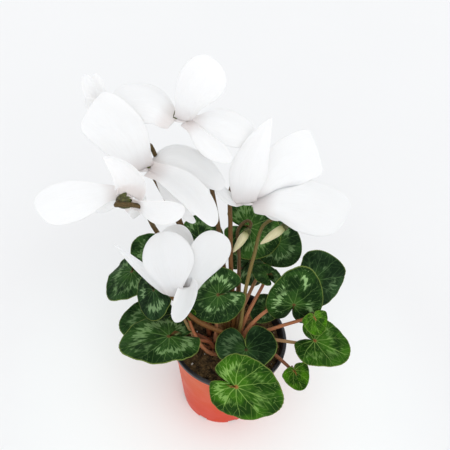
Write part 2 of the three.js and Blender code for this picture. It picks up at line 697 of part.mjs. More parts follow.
// A bud: its petals are still rolled to a point. It is placed by its wide end, and aim, length and near are
// the way that it hangs, as for a petal.
const BUDS = [
  {
    turn: 55, out: 70, over: 110, aim: -145, length: 30, near: 5, seat: [15, 9.5], hook: 180, swing: 24,
    by: [75, 30], upright: 0.5,
  },
  {
    turn: 85, out: 60, over: 95, aim: -125, length: 26, near: 5, seat: [45, 9.5], hook: 180, swing: 12,
    by: [85, 40], upright: 0.5,
  },
];
const BUD_RADIUS = 4.6;

BUDS.forEach((bud, i) => {
  const number = i + 1;
  const from = roundThePot(bud);
  const along = leaning(bud.aim, bud.length, bud.near);
  const length = along.length();
  along.normalize();
  const face = new THREE.Quaternion().setFromUnitVectors(new THREE.Vector3(0, 0, 1), along);
  const profile = [
    [0, 0],
    [BUD_RADIUS * 0.6, 0.3],
    [BUD_RADIUS, length * 0.3],
    [BUD_RADIUS * 0.75, length * 0.6],
    [BUD_RADIUS * 0.3, length * 0.9],
    [0, length],
  ];
  add(`bud_${number}`, revolve(profile, 12).applyQuaternion(face), BUD).position.copy(from);

  const path = hookedPath(bud, from.clone().addScaledVector(along, -SEAT_GAP), along);
  add(`bud_${number}_stalk`, stalkAlong(path, BUD_STALK_RADIUS, 3, 20, 0.9), FLOWER_STALK);
});

export default plant;
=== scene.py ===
# A potted cyclamen: a thin two-colour nursery pot, potting soil, the tuber, nineteen leaves on their stalks and
# three young ones, six upswept white flowers on hooked stalks, and two nodding buds. Metres, +Z up, the pot's
# foot at the origin.

import math
import random

import bmesh
import bpy
from mathutils import Matrix, Vector, noise


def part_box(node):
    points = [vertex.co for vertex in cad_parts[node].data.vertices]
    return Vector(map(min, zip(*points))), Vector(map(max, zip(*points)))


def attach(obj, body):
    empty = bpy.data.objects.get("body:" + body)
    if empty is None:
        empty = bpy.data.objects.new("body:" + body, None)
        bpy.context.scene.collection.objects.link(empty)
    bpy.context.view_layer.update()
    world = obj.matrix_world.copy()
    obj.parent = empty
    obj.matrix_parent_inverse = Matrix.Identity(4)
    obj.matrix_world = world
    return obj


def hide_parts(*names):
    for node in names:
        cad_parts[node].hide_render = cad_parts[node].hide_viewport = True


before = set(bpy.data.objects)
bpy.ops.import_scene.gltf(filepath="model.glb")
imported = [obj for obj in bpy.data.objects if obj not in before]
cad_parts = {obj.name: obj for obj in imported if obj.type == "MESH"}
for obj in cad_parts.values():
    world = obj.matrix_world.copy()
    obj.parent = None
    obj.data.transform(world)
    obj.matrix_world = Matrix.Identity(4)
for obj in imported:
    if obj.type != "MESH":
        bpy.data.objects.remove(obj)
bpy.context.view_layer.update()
scene = bpy.context.scene
scene.view_settings.view_transform = "Standard"

# ---------------------------------------------------------------- pot
# A thin-walled nursery pot, moulded in two layers of polypropylene: terracotta outside, and black inside,
# where the black also shows as the lip. Its foot is notched and its base has drainage holes.

POT_LOW, POT_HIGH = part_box("pot")
POT_HEIGHT = POT_HIGH.z
RIM_RADIUS = (POT_HIGH.x - POT_LOW.x) / 2
FOOT_RADIUS = 0.0425
POT_WALL = 0.0015
BLACK_LIP = 0.0034
MM = 0.001


def to_object(bm, name):
    mesh = bpy.data.meshes.new(name)
    bm.to_mesh(mesh)
    bm.free()
    thing = bpy.data.objects.new(name, mesh)
    scene.collection.objects.link(thing)
    return thing


def finish_piece(bm, name, *materials):
    """Turns a bmesh into a smooth piece that rides on the plant's one body."""
    piece = to_object(bm, name)
    for material in materials:
        piece.data.materials.append(material)
    for face in piece.data.polygons:
        face.use_smooth = True
    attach(piece, "root")
    return piece


def put(kind, settings, inputs, tree=None):
    """Places one node, with its inputs either set or joined, in the tree of what it is joined to."""
    if tree is None:
        tree = next(value.id_data for value in inputs.values() if isinstance(value, bpy.types.NodeSocket))
    node = tree.nodes.new(kind)
    for name, value in settings.items():
        setattr(node, name, value)
    for name, value in inputs.items():
        if isinstance(value, bpy.types.NodeSocket):
            tree.links.new(value, node.inputs[name])
        else:
            node.inputs[name].default_value = value
    return node


def reckon(operation, *values):
    """One step of arithmetic."""
    return put("ShaderNodeMath", {"operation": operation}, dict(enumerate(values))).outputs[0]


def times(first, second):
    return reckon("MULTIPLY", first, second)


def plus(first, second):
    return reckon("ADD", first, second)


def minus(first, second):
    return reckon("SUBTRACT", first, second)


def reckon_places(operation, *values):
    """One step of arithmetic with places."""
    return put("ShaderNodeVectorMath", {"operation": operation}, dict(enumerate(values))).outputs


def split(place):
    return put("ShaderNodeSeparateXYZ", {}, {0: place}).outputs


def stretch(place, scale):
    return put("ShaderNodeMapping", {}, {"Vector": place, "Scale": scale}).outputs[0]


def between(value, low, high, start=0.0, end=1.0):
    """Goes smoothly from start to end as the value goes from low to high."""
    node = put(
        "ShaderNodeMapRange",
        {"interpolation_type": "SMOOTHSTEP"},
        {"Value": value, "From Min": low, "From Max": high, "To Min": start, "To Max": end},
    )
    return node.outputs["Result"]


def tint(share, first, second):
    """Goes from the first colour to the second as the share goes from 0 to 1."""
    return put("ShaderNodeMix", {"data_type": "RGBA"}, {0: share, 6: first, 7: second}).outputs[2]


def cloudy(place, scale, detail, **more):
    """A cloudy pattern around a half."""
    inputs = {"Vector": place, "Scale": scale, "Detail": detail, **more}
    return put("ShaderNodeTexNoise", {}, inputs).outputs["Fac"]


def cells(place, scale, edges=False):
    """How far a place is from its cell's middle, or from the nearest edge between two cells."""
    feature = "DISTANCE_TO_EDGE" if edges else "F1"
    node = put("ShaderNodeTexVoronoi", {"feature": feature}, {"Vector": place, "Scale": scale})
    return node.outputs["Distance"]


def object_place(shader):
    return put("ShaderNodeTexCoord", {}, {}, shader.id_data).outputs["Object"]


def carried(shader, name, output):
    """A value that the mesh carries at its vertices."""
    return put("ShaderNodeAttribute", {"attribute_name": name}, {}, shader.id_data).outputs[output]


def feed(node, socket, value):
    node.id_data.links.new(value, node.inputs[socket])


def dress(shader, colour, roughness, relief, depth, strength=1.0):
    """Gives a surface its colour, its roughness and a relief of a depth in metres."""
    heights = {"Height": relief, "Distance": depth, "Strength": strength}
    feed(shader, "Base Color", colour)
    feed(shader, "Roughness", roughness)
    feed(shader, "Normal", put("ShaderNodeBump", {}, heights).outputs["Normal"])


def new_surface(name, **sockets):
    """A material with its Principled shader, whose plain values are set on the shader's own sockets."""
    material = bpy.data.materials.new(name)
    material.use_nodes = True
    shader = material.node_tree.nodes["Principled BSDF"]
    for socket, value in sockets.items():
        shader.inputs[socket.replace("_", " ")].default_value = value
    return material, shader


def new_effect(name, takes, gives):
    """A shader node group: its named inputs, and the node that its named outputs are fed to."""
    group = bpy.data.node_groups.new(name, "ShaderNodeTree")
    for label, kind, value in takes:
        socket = group.interface.new_socket(label, in_out="INPUT", socket_type="NodeSocket" + kind)
        if value is not None:
            socket.default_value = value
    for label, kind in gives:
        group.interface.new_socket(label, in_out="OUTPUT", socket_type="NodeSocket" + kind)
    return group, group.nodes.new("NodeGroupInput").outputs, group.nodes.new("NodeGroupOutput")


def use_effect(group, inputs):
    """One use of a node group, by its outputs."""
    return put("ShaderNodeGroup", {"node_tree": group}, inputs).outputs


# Moulded plastic: a fine grain, faint rings left by the mould, and scuffs that dull the gloss.
moulded, takes, gives = new_effect(
    "moulded_plastic",
    [("Place", "Vector", None), ("Colour", "Color", (0.5, 0.1, 0.05, 1)), ("Worn", "Color", (0.6, 0.3, 0.2, 1))],
    [("Colour", "Color"), ("Roughness", "Float"), ("Height", "Float")],
)
grain = cloudy(takes["Place"], 1400, 2)
cloud = cloudy(takes["Place"], 38, 4)
rings = cloudy(stretch(takes["Place"], (6, 6, 420)), 1, 2)
scuffed = between(cloud, 0.5, 0.75)
feed(gives, "Colour", tint(times(scuffed, 0.35), takes["Colour"], takes["Worn"]))
feed(gives, "Roughness", between(cloud, 0.3, 0.8, 0.3, 0.52))
feed(gives, "Height", plus(times(grain, 0.35), times(rings, 0.65)))

terracotta, shader = new_surface("terracotta_plastic", Specular_IOR_Level=0.18)
place = object_place(shader)
# The wall goes deeper and more saturated red towards the foot, and paler orange higher up.
up_the_wall = between(split(place)["Z"], 0.01, 0.1)
colour = tint(up_the_wall, (0.58, 0.034, 0.003, 1), (0.60, 0.085, 0.014, 1))
skin = use_effect(moulded, {"Place": place, "Colour": colour, "Worn": (0.62, 0.13, 0.045, 1)})
dress(shader, skin["Colour"], skin["Roughness"], skin["Height"], 0.0002, 0.5)

black_layer, shader = new_surface("black_plastic", Specular_IOR_Level=0.5)
place = object_place(shader)
skin = use_effect(moulded, {"Place": place, "Colour": (0.012, 0.012, 0.015, 1), "Worn": (0.045, 0.043, 0.045, 1)}
)
dress(shader, skin["Colour"], skin["Roughness"], skin["Height"], 0.0002, 0.4)


def spin(points, steps, apart):
    """A bmesh of a chain of points turned about +Z, in which points closer than apart become one."""
    bm = bmesh.new()
    chain = [bm.verts.new(point) for point in points]
    edges = [bm.edges.new(pair) for pair in zip(chain, chain[1:])]
    bmesh.ops.spin(
        bm, geom=chain + edges, cent=(0, 0, 0), axis=(0, 0, 1), angle=2 * math.pi, steps=steps, use_merge=True
    )
    bmesh.ops.remove_doubles(bm, verts=bm.verts, dist=apart)
    return bm


def lathe(profile, steps):
    """A closed solid of revolution about +Z, from [radius, height] points in millimetres."""
    bm = spin([(r * MM, 0, z * MM) for r, z in profile], steps, 1e-6)
    bmesh.ops.recalc_face_normals(bm, faces=bm.faces)
    return bm


# The pot in millimetres. Its wall leans out from the foot to a step, and above the step a band makes the rim.
POT_STEPS = 112
RIM_STEP = 2.6
RIM_BAND = 7
RING_WIDTH = 3
RING_HEIGHT = 3
PAD_RADIUS = 12
BASE_TOP = 4.5
top = POT_HEIGHT * 1000
rim = RIM_RADIUS * 1000
foot = FOOT_RADIUS * 1000
wall = POT_WALL * 1000
lip_foot = top - BLACK_LIP * 1000
band = top - RIM_BAND


def wall_radius(z):
    return foot + (rim - RIM_STEP - foot) * z / top


pot_profile = [
    (0, 0), (PAD_RADIUS, 0), (PAD_RADIUS + 1.5, RING_HEIGHT), (38, RING_HEIGHT),
    (foot - RING_WIDTH, 0), (foot, 0),
    (wall_radius(26), 26), (wall_radius(60), 60), (wall_radius(band - 0.6), band - 0.6),
    (wall_radius(band) + 0.7, band), (rim - 0.9, band + 0.5), (rim - 0.4, band + 1.2),
    (rim, lip_foot), (rim, top - 0.8), (rim - 0.5, top), (wall_radius(top) - 0.4, top),
    (wall_radius(top) - 1.2, top - 0.7),
    (wall_radius(80) - wall, 80), (wall_radius(40) - wall, 40), (wall_radius(BASE_TOP) - wall, BASE_TOP),
    (0, BASE_TOP),
]
bm = lathe(pot_profile, POT_STEPS)
pot = finish_piece(bm, "pot_shell", terracotta, black_layer)

# Each drainage hole stands in the base, and a notch lets the water out through the foot ring beside it.
DRAINS = 8
DRAIN_RADIUS = 0.004
DRAIN_DEPTH = 0.012
DRAIN_OUT = 0.027
NOTCH_SIZE = (0.01, 0.009, 0.0052)
NOTCH_OUT = 0.0415
bm = bmesh.new()
for i in range(DRAINS):
    turn = (i + 0.5) * 2 * math.pi / DRAINS
    out = Vector((math.cos(turn), math.sin(turn), 0))
    bmesh.ops.create_cone(
        bm, cap_ends=True, segments=24, radius1=DRAIN_RADIUS, radius2=DRAIN_RADIUS, depth=DRAIN_DEPTH,
        matrix=Matrix.Translation(out * DRAIN_OUT + Vector((0, 0, DRAIN_DEPTH / 3))),
    )
    notch = bmesh.ops.create_cube(bm, size=1)["verts"]
    bmesh.ops.scale(bm, vec=NOTCH_SIZE, verts=notch)
    bmesh.ops.translate(bm, vec=(NOTCH_OUT, 0, 0), verts=notch)
    bmesh.ops.rotate(bm, cent=(0, 0, 0), matrix=Matrix.Rotation(turn, 3, "Z"), verts=notch)
cutter = to_object(bm, "drainage_cuts")
cut = pot.modifiers.new("drainage", "BOOLEAN")
cut.object = cutter
cut.operation = "DIFFERENCE"
cut.solver = "EXACT"
cut_mesh = bpy.data.meshes.new_from_object(pot.evaluated_get(bpy.context.evaluated_depsgraph_get()))
pot.modifiers.clear()
pot.data = cut_mesh
pot.data.name = "pot_shell"
bpy.data.objects.remove(cutter)

for face in pot.data.polygons:
    middle = face.center
    radius = math.hypot(middle.x, middle.y) * 1000
    height = middle.z * 1000
    lip = height > lip_foot
    inside = height > BASE_TOP - 0.1 and radius < wall_radius(height) - wall * 0.6
    face.material_index = 1 if lip or inside else 0
    face.use_smooth = True
edges = pot.modifiers.new("soft_edges", "BEVEL")
edges.width = 0.0003
edges.segments = 2
edges.limit_method = "ANGLE"
edges.angle_limit = math.radians(28)
edges.harden_normals = True
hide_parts("pot")

# ---------------------------------------------------------------- soil
# Peaty potting soil, filled to a finger's width below the rim and heaped a little against the tuber. Loose
# crumbs and white perlite grains lie on it.

SOIL_LOW, SOIL_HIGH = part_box("soil")
SOIL_TOP = SOIL_HIGH.z * 1000 - 1
SOIL_FOOT = SOIL_LOW.z * 1000
SOIL_RINGS = 26
SIDE_GAP = 0.35
FOOT_GAP = 0.4
SOIL_ROUGH = 0.0016
HEAP_HEIGHT = 0.0012
HEAP_OUT = 0.03
HEAP_WIDTH = 0.012
GRAINS_FROM = 0.0255
GRAINS_TO = 0.0525

peat, shader = new_surface("potting_soil", Specular_IOR_Level=0.25)
place = object_place(shader)
coarse = cloudy(place, 160, 6, Roughness=0.7)
fine = cloudy(place, 900, 4)
clods = cells(place, 420)
shade = between(coarse, 0.35, 0.68)
colour = tint(shade, (0.022, 0.013, 0.006, 1), (0.20, 0.125, 0.05, 1))
fibre = between(fine, 0.62, 0.72)
colour = tint(times(fibre, 0.5), colour, (0.13, 0.082, 0.045, 1))
relief = plus(fine, times(clods, 0.8))
dress(shader, colour, between(fine, 0.3, 0.7, 0.8, 0.98), relief, 0.0012)

perlite_white, shader = new_surface("perlite", Specular_IOR_Level=0.3)
place = object_place(shader)
pits = cells(place, 2200)
stain = cloudy(place, 500, 3)
colour = tint(between(stain, 0.45, 0.7), (0.78, 0.75, 0.7, 1), (0.42, 0.34, 0.26, 1)
)
dress(shader, colour, between(pits, 0, 0.6, 0.95, 0.75), pits, 0.0004)


def soil_lift(x, y):
    """How far the soil's surface stands above its flat level, in metres."""
    rough = noise.fractal(Vector((x * 70, y * 70, 3.1)), 1.0, 2.0, 4) * SOIL_ROUGH
    heap = HEAP_HEIGHT * math.exp(-((math.hypot(x, y) - HEAP_OUT) / HEAP_WIDTH) ** 2)
    return rough + heap


side = wall_radius(SOIL_TOP) - wall - SIDE_GAP
foot_side = wall_radius(SOIL_FOOT) - wall - FOOT_GAP
rings = [(side * (1 - i / SOIL_RINGS), SOIL_TOP) for i in range(SOIL_RINGS)]
bm = lathe([(0, SOIL_FOOT), (foot_side, SOIL_FOOT), *rings, (0, SOIL_TOP)], steps=110)
for vert in bm.verts:
    if vert.co.z > SOIL_TOP * MM - 1e-5:
        edge = min(1, max(0, (side * MM - math.hypot(vert.co.x, vert.co.y)) / 0.003))
        vert.co.z += soil_lift(vert.co.x, vert.co.y) * edge
soil = finish_piece(bm, "soil_bed", peat)
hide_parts("soil")


def scatter(name, material, count, smallest, largest, seed, squeeze):
    """Small grains lying on the soil between the tuber and the pot's wall."""
    pick = random.Random(seed)
    bm = bmesh.new()
    for _ in range(count):
        turn = pick.uniform(0, 2 * math.pi)
        out = math.sqrt(pick.uniform(GRAINS_FROM**2, GRAINS_TO**2))
        x, y = out * math.cos(turn), out * math.sin(turn)
        size = smallest + (largest - smallest) * pick.random() ** 2.2
        grain = bmesh.ops.create_icosphere(bm, subdivisions=1, radius=size)["verts"]
        for vert in grain:
            vert.co *= 1 + 0.35 * noise.noise(vert.co * (1.1 / size) + Vector((turn * 9, out * 300, 0)))
        bmesh.ops.scale(bm, vec=(1, pick.uniform(0.6, 1), squeeze), verts=grain)
        spin = Matrix.Rotation(pick.uniform(0, 6.28), 3, "Z") @ Matrix.Rotation(pick.uniform(-0.6, 0.6), 3, "X")
        bmesh.ops.rotate(bm, cent=(0, 0, 0), matrix=spin, verts=grain)
        z = SOIL_TOP * MM + soil_lift(x, y) + size * squeeze * 0.45
        bmesh.ops.translate(bm, vec=(x, y, z), verts=grain)
    piece = finish_piece(bm, name, material)
    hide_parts("soil")


scatter("soil_crumbs", peat, count=620, smallest=0.0006, largest=0.0026, seed=11, squeeze=0.7)
scatter("perlite_grains", perlite_white, count=46, smallest=0.0006, largest=0.0016, seed=5, squeeze=0.8)

# ---------------------------------------------------------------- tuber
# The flat corky corm, half sunk in the soil. Its crown is knobbly with the scars of old leaves, and every
# stalk grows out of it.

TUBER_LOW, TUBER_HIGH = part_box("tuber")
CROWN_HEIGHT = TUBER_HIGH.z
TUBER_RADIUS = (TUBER_HIGH.x - TUBER_LOW.x) / 2
TUBER_WAIST = 89
ABOVE_WAIST = 13.4
BELOW_WAIST = 15
TUBER_STEPS = 24

cork, shader = new_surface("corky_skin", Specular_IOR_Level=0.3)
place = object_place(shader)
cracks = cells(place, 260, edges=True)
cloud = cloudy(place, 120, 6)
colour = tint(between(cloud, 0.35, 0.65), (0.05, 0.022, 0.011, 1), (0.17, 0.085, 0.042, 1)
)
flesh = between(split(place)["Z"], 0.098, 0.104)
colour = tint(times(flesh, 0.45), colour, (0.24, 0.07, 0.045, 1))
relief = plus(between(cracks, 0, 0.2), cloud)
dress(shader, colour, between(cloud, 0.3, 0.7, 0.95, 0.7), relief, 0.0008)

tuber_profile = [(0, TUBER_LOW.z * 1000)]
for i in range(1, TUBER_STEPS + 1):
    turn = -math.pi / 2 + math.pi * i / TUBER_STEPS
    out = TUBER_RADIUS * 1000 * math.cos(turn) ** 0.62 if i < TUBER_STEPS else 0
    tuber_profile.append((out, TUBER_WAIST + (ABOVE_WAIST if turn > 0 else BELOW_WAIST) * math.sin(turn)))
bm = lathe(tuber_profile, steps=64)
for vert in bm.verts:
    knob = noise.noise(vert.co * 110) * 0.0016 + noise.noise(vert.co * 320) * 0.0006
    vert.co += vert.co.normalized() * min(knob, 0.0006)
tuber = finish_piece(bm, "tuber_body", cork)
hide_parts("tuber")

# ---------------------------------------------------------------- leaves
# Leathery heart-shaped blades, each on a fleshy round stalk that grows out of the tuber's crown and curves
# out over the rim. A blade is dark green with a jagged silver-green band, and reddish or pale underneath.

# A leaf is placed round the pot: turn is its compass side, out how far its blade's foot stands from the pot's
# axis, and over how high it is above the rim. heading is the compass turn of the midrib, dip how far the tip
# points below level, and bank the roll about the midrib. seat is the stalk's place on the crown as
# (turn, radius), and rise is how far the stalk keeps to its first, upright direction. Millimetres, degrees.
RIM_TOP = round(POT_HEIGHT * 1000)
LEAVES = [
    # over the front rim, and the three that fill the middle
    dict(turn=-80, out=65, over=10, heading=-15, dip=5, bank=65, width=70, seat=(-82, 20.5), rise=20,
         cup=-0.06, back=0.75, wave=0.02, fresh=0.72, silver=0.6),
    dict(turn=-155, out=65, over=25, heading=-155, dip=-5, bank=15, width=70, seat=(-138, 20.5), rise=30,
         cup=-0.12, fold=0.12, reach=1.1, back=0.85, wave=0.02, fresh=0.2, silver=0.6),
    dict(turn=-58, out=33, over=19, heading=-80, dip=-5, bank=5, width=60, seat=(-60, 15), rise=25,
         cup=0.1, fold=0.1, reach=0.7, notch=145, fresh=0.0, silver=0.25),
    dict(turn=150, out=19, over=52, heading=-160, dip=10, bank=-45, width=55, seat=(-150, 15), rise=65,
         cup=-0.1, fold=0.2, reach=1.0, wave=0.02, fresh=0.15, silver=1.0),
    # the left side, from the front to the back, and the low one beneath them
    dict(turn=175, out=80, over=50, heading=-80, dip=30, bank=40, width=45, seat=(175, 20.5), rise=38,
         cup=-0.08, fresh=0.0, silver=0.7),
    dict(turn=160, out=115, over=35, heading=-120, dip=15, bank=20, width=55, seat=(158, 20.5), rise=35,
         cup=-0.14, wave=0.03, fresh=0.1, silver=0.5),
    dict(turn=150, out=95, over=55, heading=145, dip=-5, bank=-15, width=50, seat=(148, 15), rise=40,
         cup=-0.1, fresh=0.2, silver=0.5),
    dict(turn=178, out=79, over=8, heading=-165, dip=10, bank=-15, width=50, seat=(-160, 20), rise=10, lead=0.1,
         cup=-0.08, reach=1.15, back=0.9, wave=0.02, fresh=0.1, silver=0.4),
    # the right side, from the top down to a small one that hangs over the rim
    dict(turn=10, out=60, over=50, heading=75, dip=-80, bank=15, width=55, seat=(8, 15), rise=38,
         cup=-0.12, fold=0.1, reach=1.35, notch=150, fresh=0.2, silver=1.2),
    dict(turn=65, out=95, over=55, heading=-30, dip=20, bank=35, width=50, seat=(62, 15), rise=50, lead=0.5,
         cup=-0.08, reach=0.9, fresh=0.1, silver=0.5),
    dict(turn=35, out=100, over=35, heading=25, dip=10, bank=55, width=65, seat=(28, 20.5), rise=12, lead=0.3,
         cup=-0.1, back=0.5, wave=0.03, fresh=0.05, silver=0.4),
    dict(turn=2, out=80, over=44, heading=-60, dip=40, bank=0, width=28, seat=(3, 20.5), rise=12, lead=0.08,
         cup=0.1, back=0.4, fresh=1.0, silver=0.1),
    dict(turn=-5, out=86, over=19, heading=-20, dip=0, bank=5, width=55, seat=(-12, 20.5), rise=26,
         cup=-0.06, fold=0.1, back=0.7, notch=150, wave=0.02, fresh=0.6, silver=0.35),
    dict(turn=-25, out=75, over=-2, heading=-55, dip=30, bank=0, width=30, seat=(-34, 20.5), rise=44, lead=0.1,
         cup=0.2, back=0.4, fresh=1.0, silver=0.0),
    # the middle and the back
    dict(turn=55, out=55, over=50, heading=120, dip=5, bank=10, width=30, seat=(38, 15), rise=34,
         cup=-0.1, fresh=0.2, silver=0.3),
    dict(turn=40, out=45, over=15, heading=-125, dip=10, bank=-15, width=30, seat=(52, 20.5), rise=14,
         cup=0.1, fold=0.1, fresh=0.1, silver=0.5),
    dict(turn=80, out=80, over=30, heading=60, dip=5, bank=40, width=55, seat=(104, 15), rise=55,
         cup=-0.1, wave=0.02, fresh=0.1, silver=0.7),
    dict(turn=85, out=80, over=80, heading=15, dip=25, bank=30, width=65, seat=(78, 20.5), rise=80,
         cup=-0.1, back=0.85, wave=0.03, fresh=0.3, silver=0.4),
    dict(turn=120, out=85, over=60, heading=105, dip=-10, bank=-20, width=50, seat=(128, 20.5), rise=48,
         cup=-0.1, fresh=0.2, silver=0.6),
]


def compass(turn, out, height=0):
    """A place at a compass turn in degrees, and so far out from the axis."""
    turn = math.radians(turn)
    return Vector((out * math.cos(turn), out * math.sin(turn), height))


def round_the_pot(piece):
    return compass(piece["turn"], piece["out"], RIM_TOP + piece["over"]) * MM


# The main veins leave the stalk at even turns, which are twice this far apart, in radians.
VEIN_SPREAD = 0.335

# The veins and the markings of a blade, laid out on its flat shape. Share goes from 0 at the stalk to 1 at
# the edge.
markings, takes, gives = new_effect(
    "blade_markings",
    [
        ("Flat", "Vector", None), ("Share", "Float", 0.0), ("Seed", "Float", 0.0),
        ("Fresh", "Float", 0.0), ("Silver", "Float", 1.0),
    ],
    [("Colour", "Color"), ("Veins", "Float"), ("Height", "Float"), ("Roughness", "Float")],
)
share = takes["Share"]
flat = takes["Flat"]
shifted = reckon_places("ADD", flat, takes["Seed"])[0]
wander = cloudy(shifted, 5, 2)
axes = split(flat)
turn = reckon("ABSOLUTE", reckon("ARCTAN2", axes["Y"], axes["X"]))
swept = times(turn, plus(1.0, times(share, 0.2)))
swept = plus(swept, between(wander, 0.2, 0.8, -0.05, 0.05))
apart = reckon("PINGPONG", swept, VEIN_SPREAD)
out = reckon_places("LENGTH", flat)["Value"]
offset = times(out, apart)
slim = minus(0.0125, times(share, 0.0085))
main_veins = between(reckon("DIVIDE", offset, slim), 0.45, 1.0, 1.0, 0.0)
branch = minus(out, times(offset, 1.1))
branch = plus(times(branch, 9.5), times(wander, 1.6))
side_veins = between(reckon("PINGPONG", branch, 0.5), 0.02, 0.075, 1.0, 0.0)
side_veins = times(side_veins, between(share, 0.15, 0.35))
net = cells(shifted, 24, edges=True)
net_veins = between(net, 0.0, 0.06, 1.0, 0.0)
veins = reckon("MAXIMUM", main_veins, times(side_veins, 0.5))
feed(gives, "Veins", reckon("MAXIMUM", veins, times(net_veins, 0.22)))

ray = split(reckon_places("NORMALIZE", flat)[0])
streak_place = put(
    "ShaderNodeCombineXYZ",
    {},
    {
        "X": plus(times(ray["X"], 9.0), takes["Seed"]),
        "Y": times(ray["Y"], 9.0),
        "Z": times(share, 2.6),
    },
).outputs[0]
streaks = cloudy(streak_place, 1, 3)
streaks = between(streaks, 0.25, 0.75, -0.5, 0.5)
inner = minus(share, plus(0.5, times(streaks, 0.34)))
outer = minus(plus(0.74, times(streaks, 0.3)), share)
ring = times(between(inner, 0.0, 0.07), between(outer, 0.0, 0.06))
patches = cloudy(shifted, 3.2, 3)
ring = times(ring, between(patches, 0.42, 0.56))
spots = cells(shifted, 30)
spots = times(between(spots, 0.16, 0.26, 1.0, 0.0), between(wander, 0.5, 0.62))
spots = times(spots, between(share, 0.72, 0.8))
silvered = reckon("MAXIMUM", ring, times(spots, 0.7))
silvered = times(silvered, takes["Silver"])
silvered = times(silvered, between(share, 0.9, 0.96, 1.0, 0.0))

dark = tint(between(patches, 0.35, 0.65), (0.004, 0.016, 0.004, 1), (0.017, 0.048, 0.014, 1))
bright = tint(between(patches, 0.35, 0.65), (0.010, 0.045, 0.001, 1), (0.05, 0.17, 0.002, 1))
colour = tint(takes["Fresh"], dark, bright)
heart = times(between(share, 0.05, 0.5, 0.5, 0.0), between(wander, 0.35, 0.65))
colour = tint(heart, colour, (0.055, 0.14, 0.018, 1))
pale = tint(takes["Fresh"], (0.27, 0.43, 0.20, 1), (0.32, 0.55, 0.11, 1))
colour = tint(times(silvered, 0.85), colour, pale)
vein_colour = tint(takes["Fresh"], (0.08, 0.17, 0.06, 1), (0.40, 0.64, 0.13, 1))
colour = tint(times(veins, 0.5), colour, vein_colour)
colour = tint(between(share, 0.972, 0.99, 0.0, 0.8), colour, (0.17, 0.23, 0.05, 1))
joint = between(out, 0.018, 0.045, 0.9, 0.0)
red_joint = tint(takes["Fresh"], (0.07, 0.045, 0.018, 1), (0.38, 0.13, 0.04, 1))
colour = tint(joint, colour, red_joint)
feed(gives, "Colour", colour)
puckers = cloudy(shifted, 26, 3)
height = minus(times(puckers, 0.4), veins)
feed(gives, "Height", plus(height, times(net, 1.6)))
feed(gives, "Roughness", between(puckers, 0.3, 0.7, 0.42, 0.58))


def blade_surfaces(number, leaf):
    """The two faces of a blade: the marked upper one and the paler, redder under one."""
    found = []
    for face in ("upper", "under"):
        material, shader = new_surface(f"blade_{number}_{face}", Specular_IOR_Level=0.06)
        marks = use_effect(markings,
            {
                "Flat": carried(shader, "flat_place", "Vector"),
                "Share": carried(shader, "edge_share", "Fac"),
                "Seed": number * 3.7,
                "Fresh": leaf["fresh"],
                "Silver": leaf["silver"],
            },
        )
        if face == "upper":
            dress(shader, marks["Colour"], marks["Roughness"], marks["Height"], 0.0005, 0.6)
        else:
            place = object_place(shader)
            flush = cloudy(place, 45, 4)
            colour = tint(between(flush, 0.35, 0.62),
                (0.085, 0.15, 0.055, 1),
                (0.14, 0.045, 0.038, 1),
            )
            colour = tint(times(marks["Veins"], 0.7), colour, (0.24, 0.12, 0.08, 1))
            dress(shader, colour, marks["Roughness"], marks["Veins"], 0.0006, 0.7)
        found.append(material)
    return found


def blade_edge(turn, leaf):
    """The edge of a blade one unit wide: its tip is at turn 0 and its notch at half a turn."""
    away = abs(math.degrees(turn))
    heart = 0.5 + 0.13 * math.exp(-((away / 38) ** 2))
    start = leaf.get("notch", 162)
    closing = max(0, (away - start) / (180 - start))
    notch = max(0.1, math.cos(closing * math.pi / 2) ** 0.6)
    tooth = 0.0065 * abs(math.sin(away / 360 * math.pi * 64)) if away < 160 else 0
    return heart * notch + tooth


def blade_height(x, y, turn, out, leaf):
    """Height of a blade one unit wide above its flat plane."""
    ripple = 0.008 * math.sin(9 * turn + leaf["heading"]) + 0.006 * math.sin(17 * turn + leaf["bank"])
    swept = abs(turn) * (1 + 0.2 * out)
    apart = abs((swept + VEIN_SPREAD) % (2 * VEIN_SPREAD) - VEIN_SPREAD)
    groove = -0.010 * math.exp(-((math.hypot(x, y) * apart / 0.022) ** 2)) * min(1, out * 3) * (1 - out * 0.6)
    return (
        leaf.get("cup", 0) * 0.5 * out * out
        + leaf.get("fold", 0) * (math.sqrt(y * y + 0.004) - 0.063)
        + leaf.get("wave", 0) * out**3 * math.sin(5 * turn)
        + ripple * out**4
        + groove
    )


BLADE_SECTORS = 156
BLADE_RINGS = 17


def blade_mesh(leaf):
    bm = spin([(-i / BLADE_RINGS, 0, 0) for i in range(BLADE_RINGS + 1)], BLADE_SECTORS, 1e-5)
    edge_share = bm.verts.layers.float.new("edge_share")
    flat_place = bm.verts.layers.float_vector.new("flat_place")
    width = leaf["width"] * MM
    for vert in bm.verts:
        out = min(1, math.hypot(vert.co.x, vert.co.y))
        even = math.atan2(vert.co.y, vert.co.x) / math.pi if out > 1e-6 else 0
        turn = math.copysign(math.pi * (1 - (1 - min(1, abs(even))) ** 1.3), even)
        out = out**0.9
        x = out * blade_edge(turn, leaf) * math.cos(turn)
        x *= leaf.get("reach", 1.05) if x > 0 else leaf.get("back", 1)
        y = out * blade_edge(turn, leaf) * math.sin(turn)
        vert[edge_share] = out
        vert[flat_place] = Vector((x, y, 0))
        vert.co = Vector((x, y, blade_height(x, y, turn, out, leaf))) * width
    bmesh.ops.recalc_face_normals(bm, faces=bm.faces)
    if sum(face.normal.z for face in bm.faces) < 0:
        bmesh.ops.reverse_faces(bm, faces=bm.faces)
    return bm


def leaf_turn(leaf):
    return (
        Matrix.Rotation(math.radians(leaf["heading"]), 4, "Z")
        @ Matrix.Rotation(math.radians(leaf["dip"]), 4, "Y")
        @ Matrix.Rotation(math.radians(leaf["bank"]), 4, "X")
    )


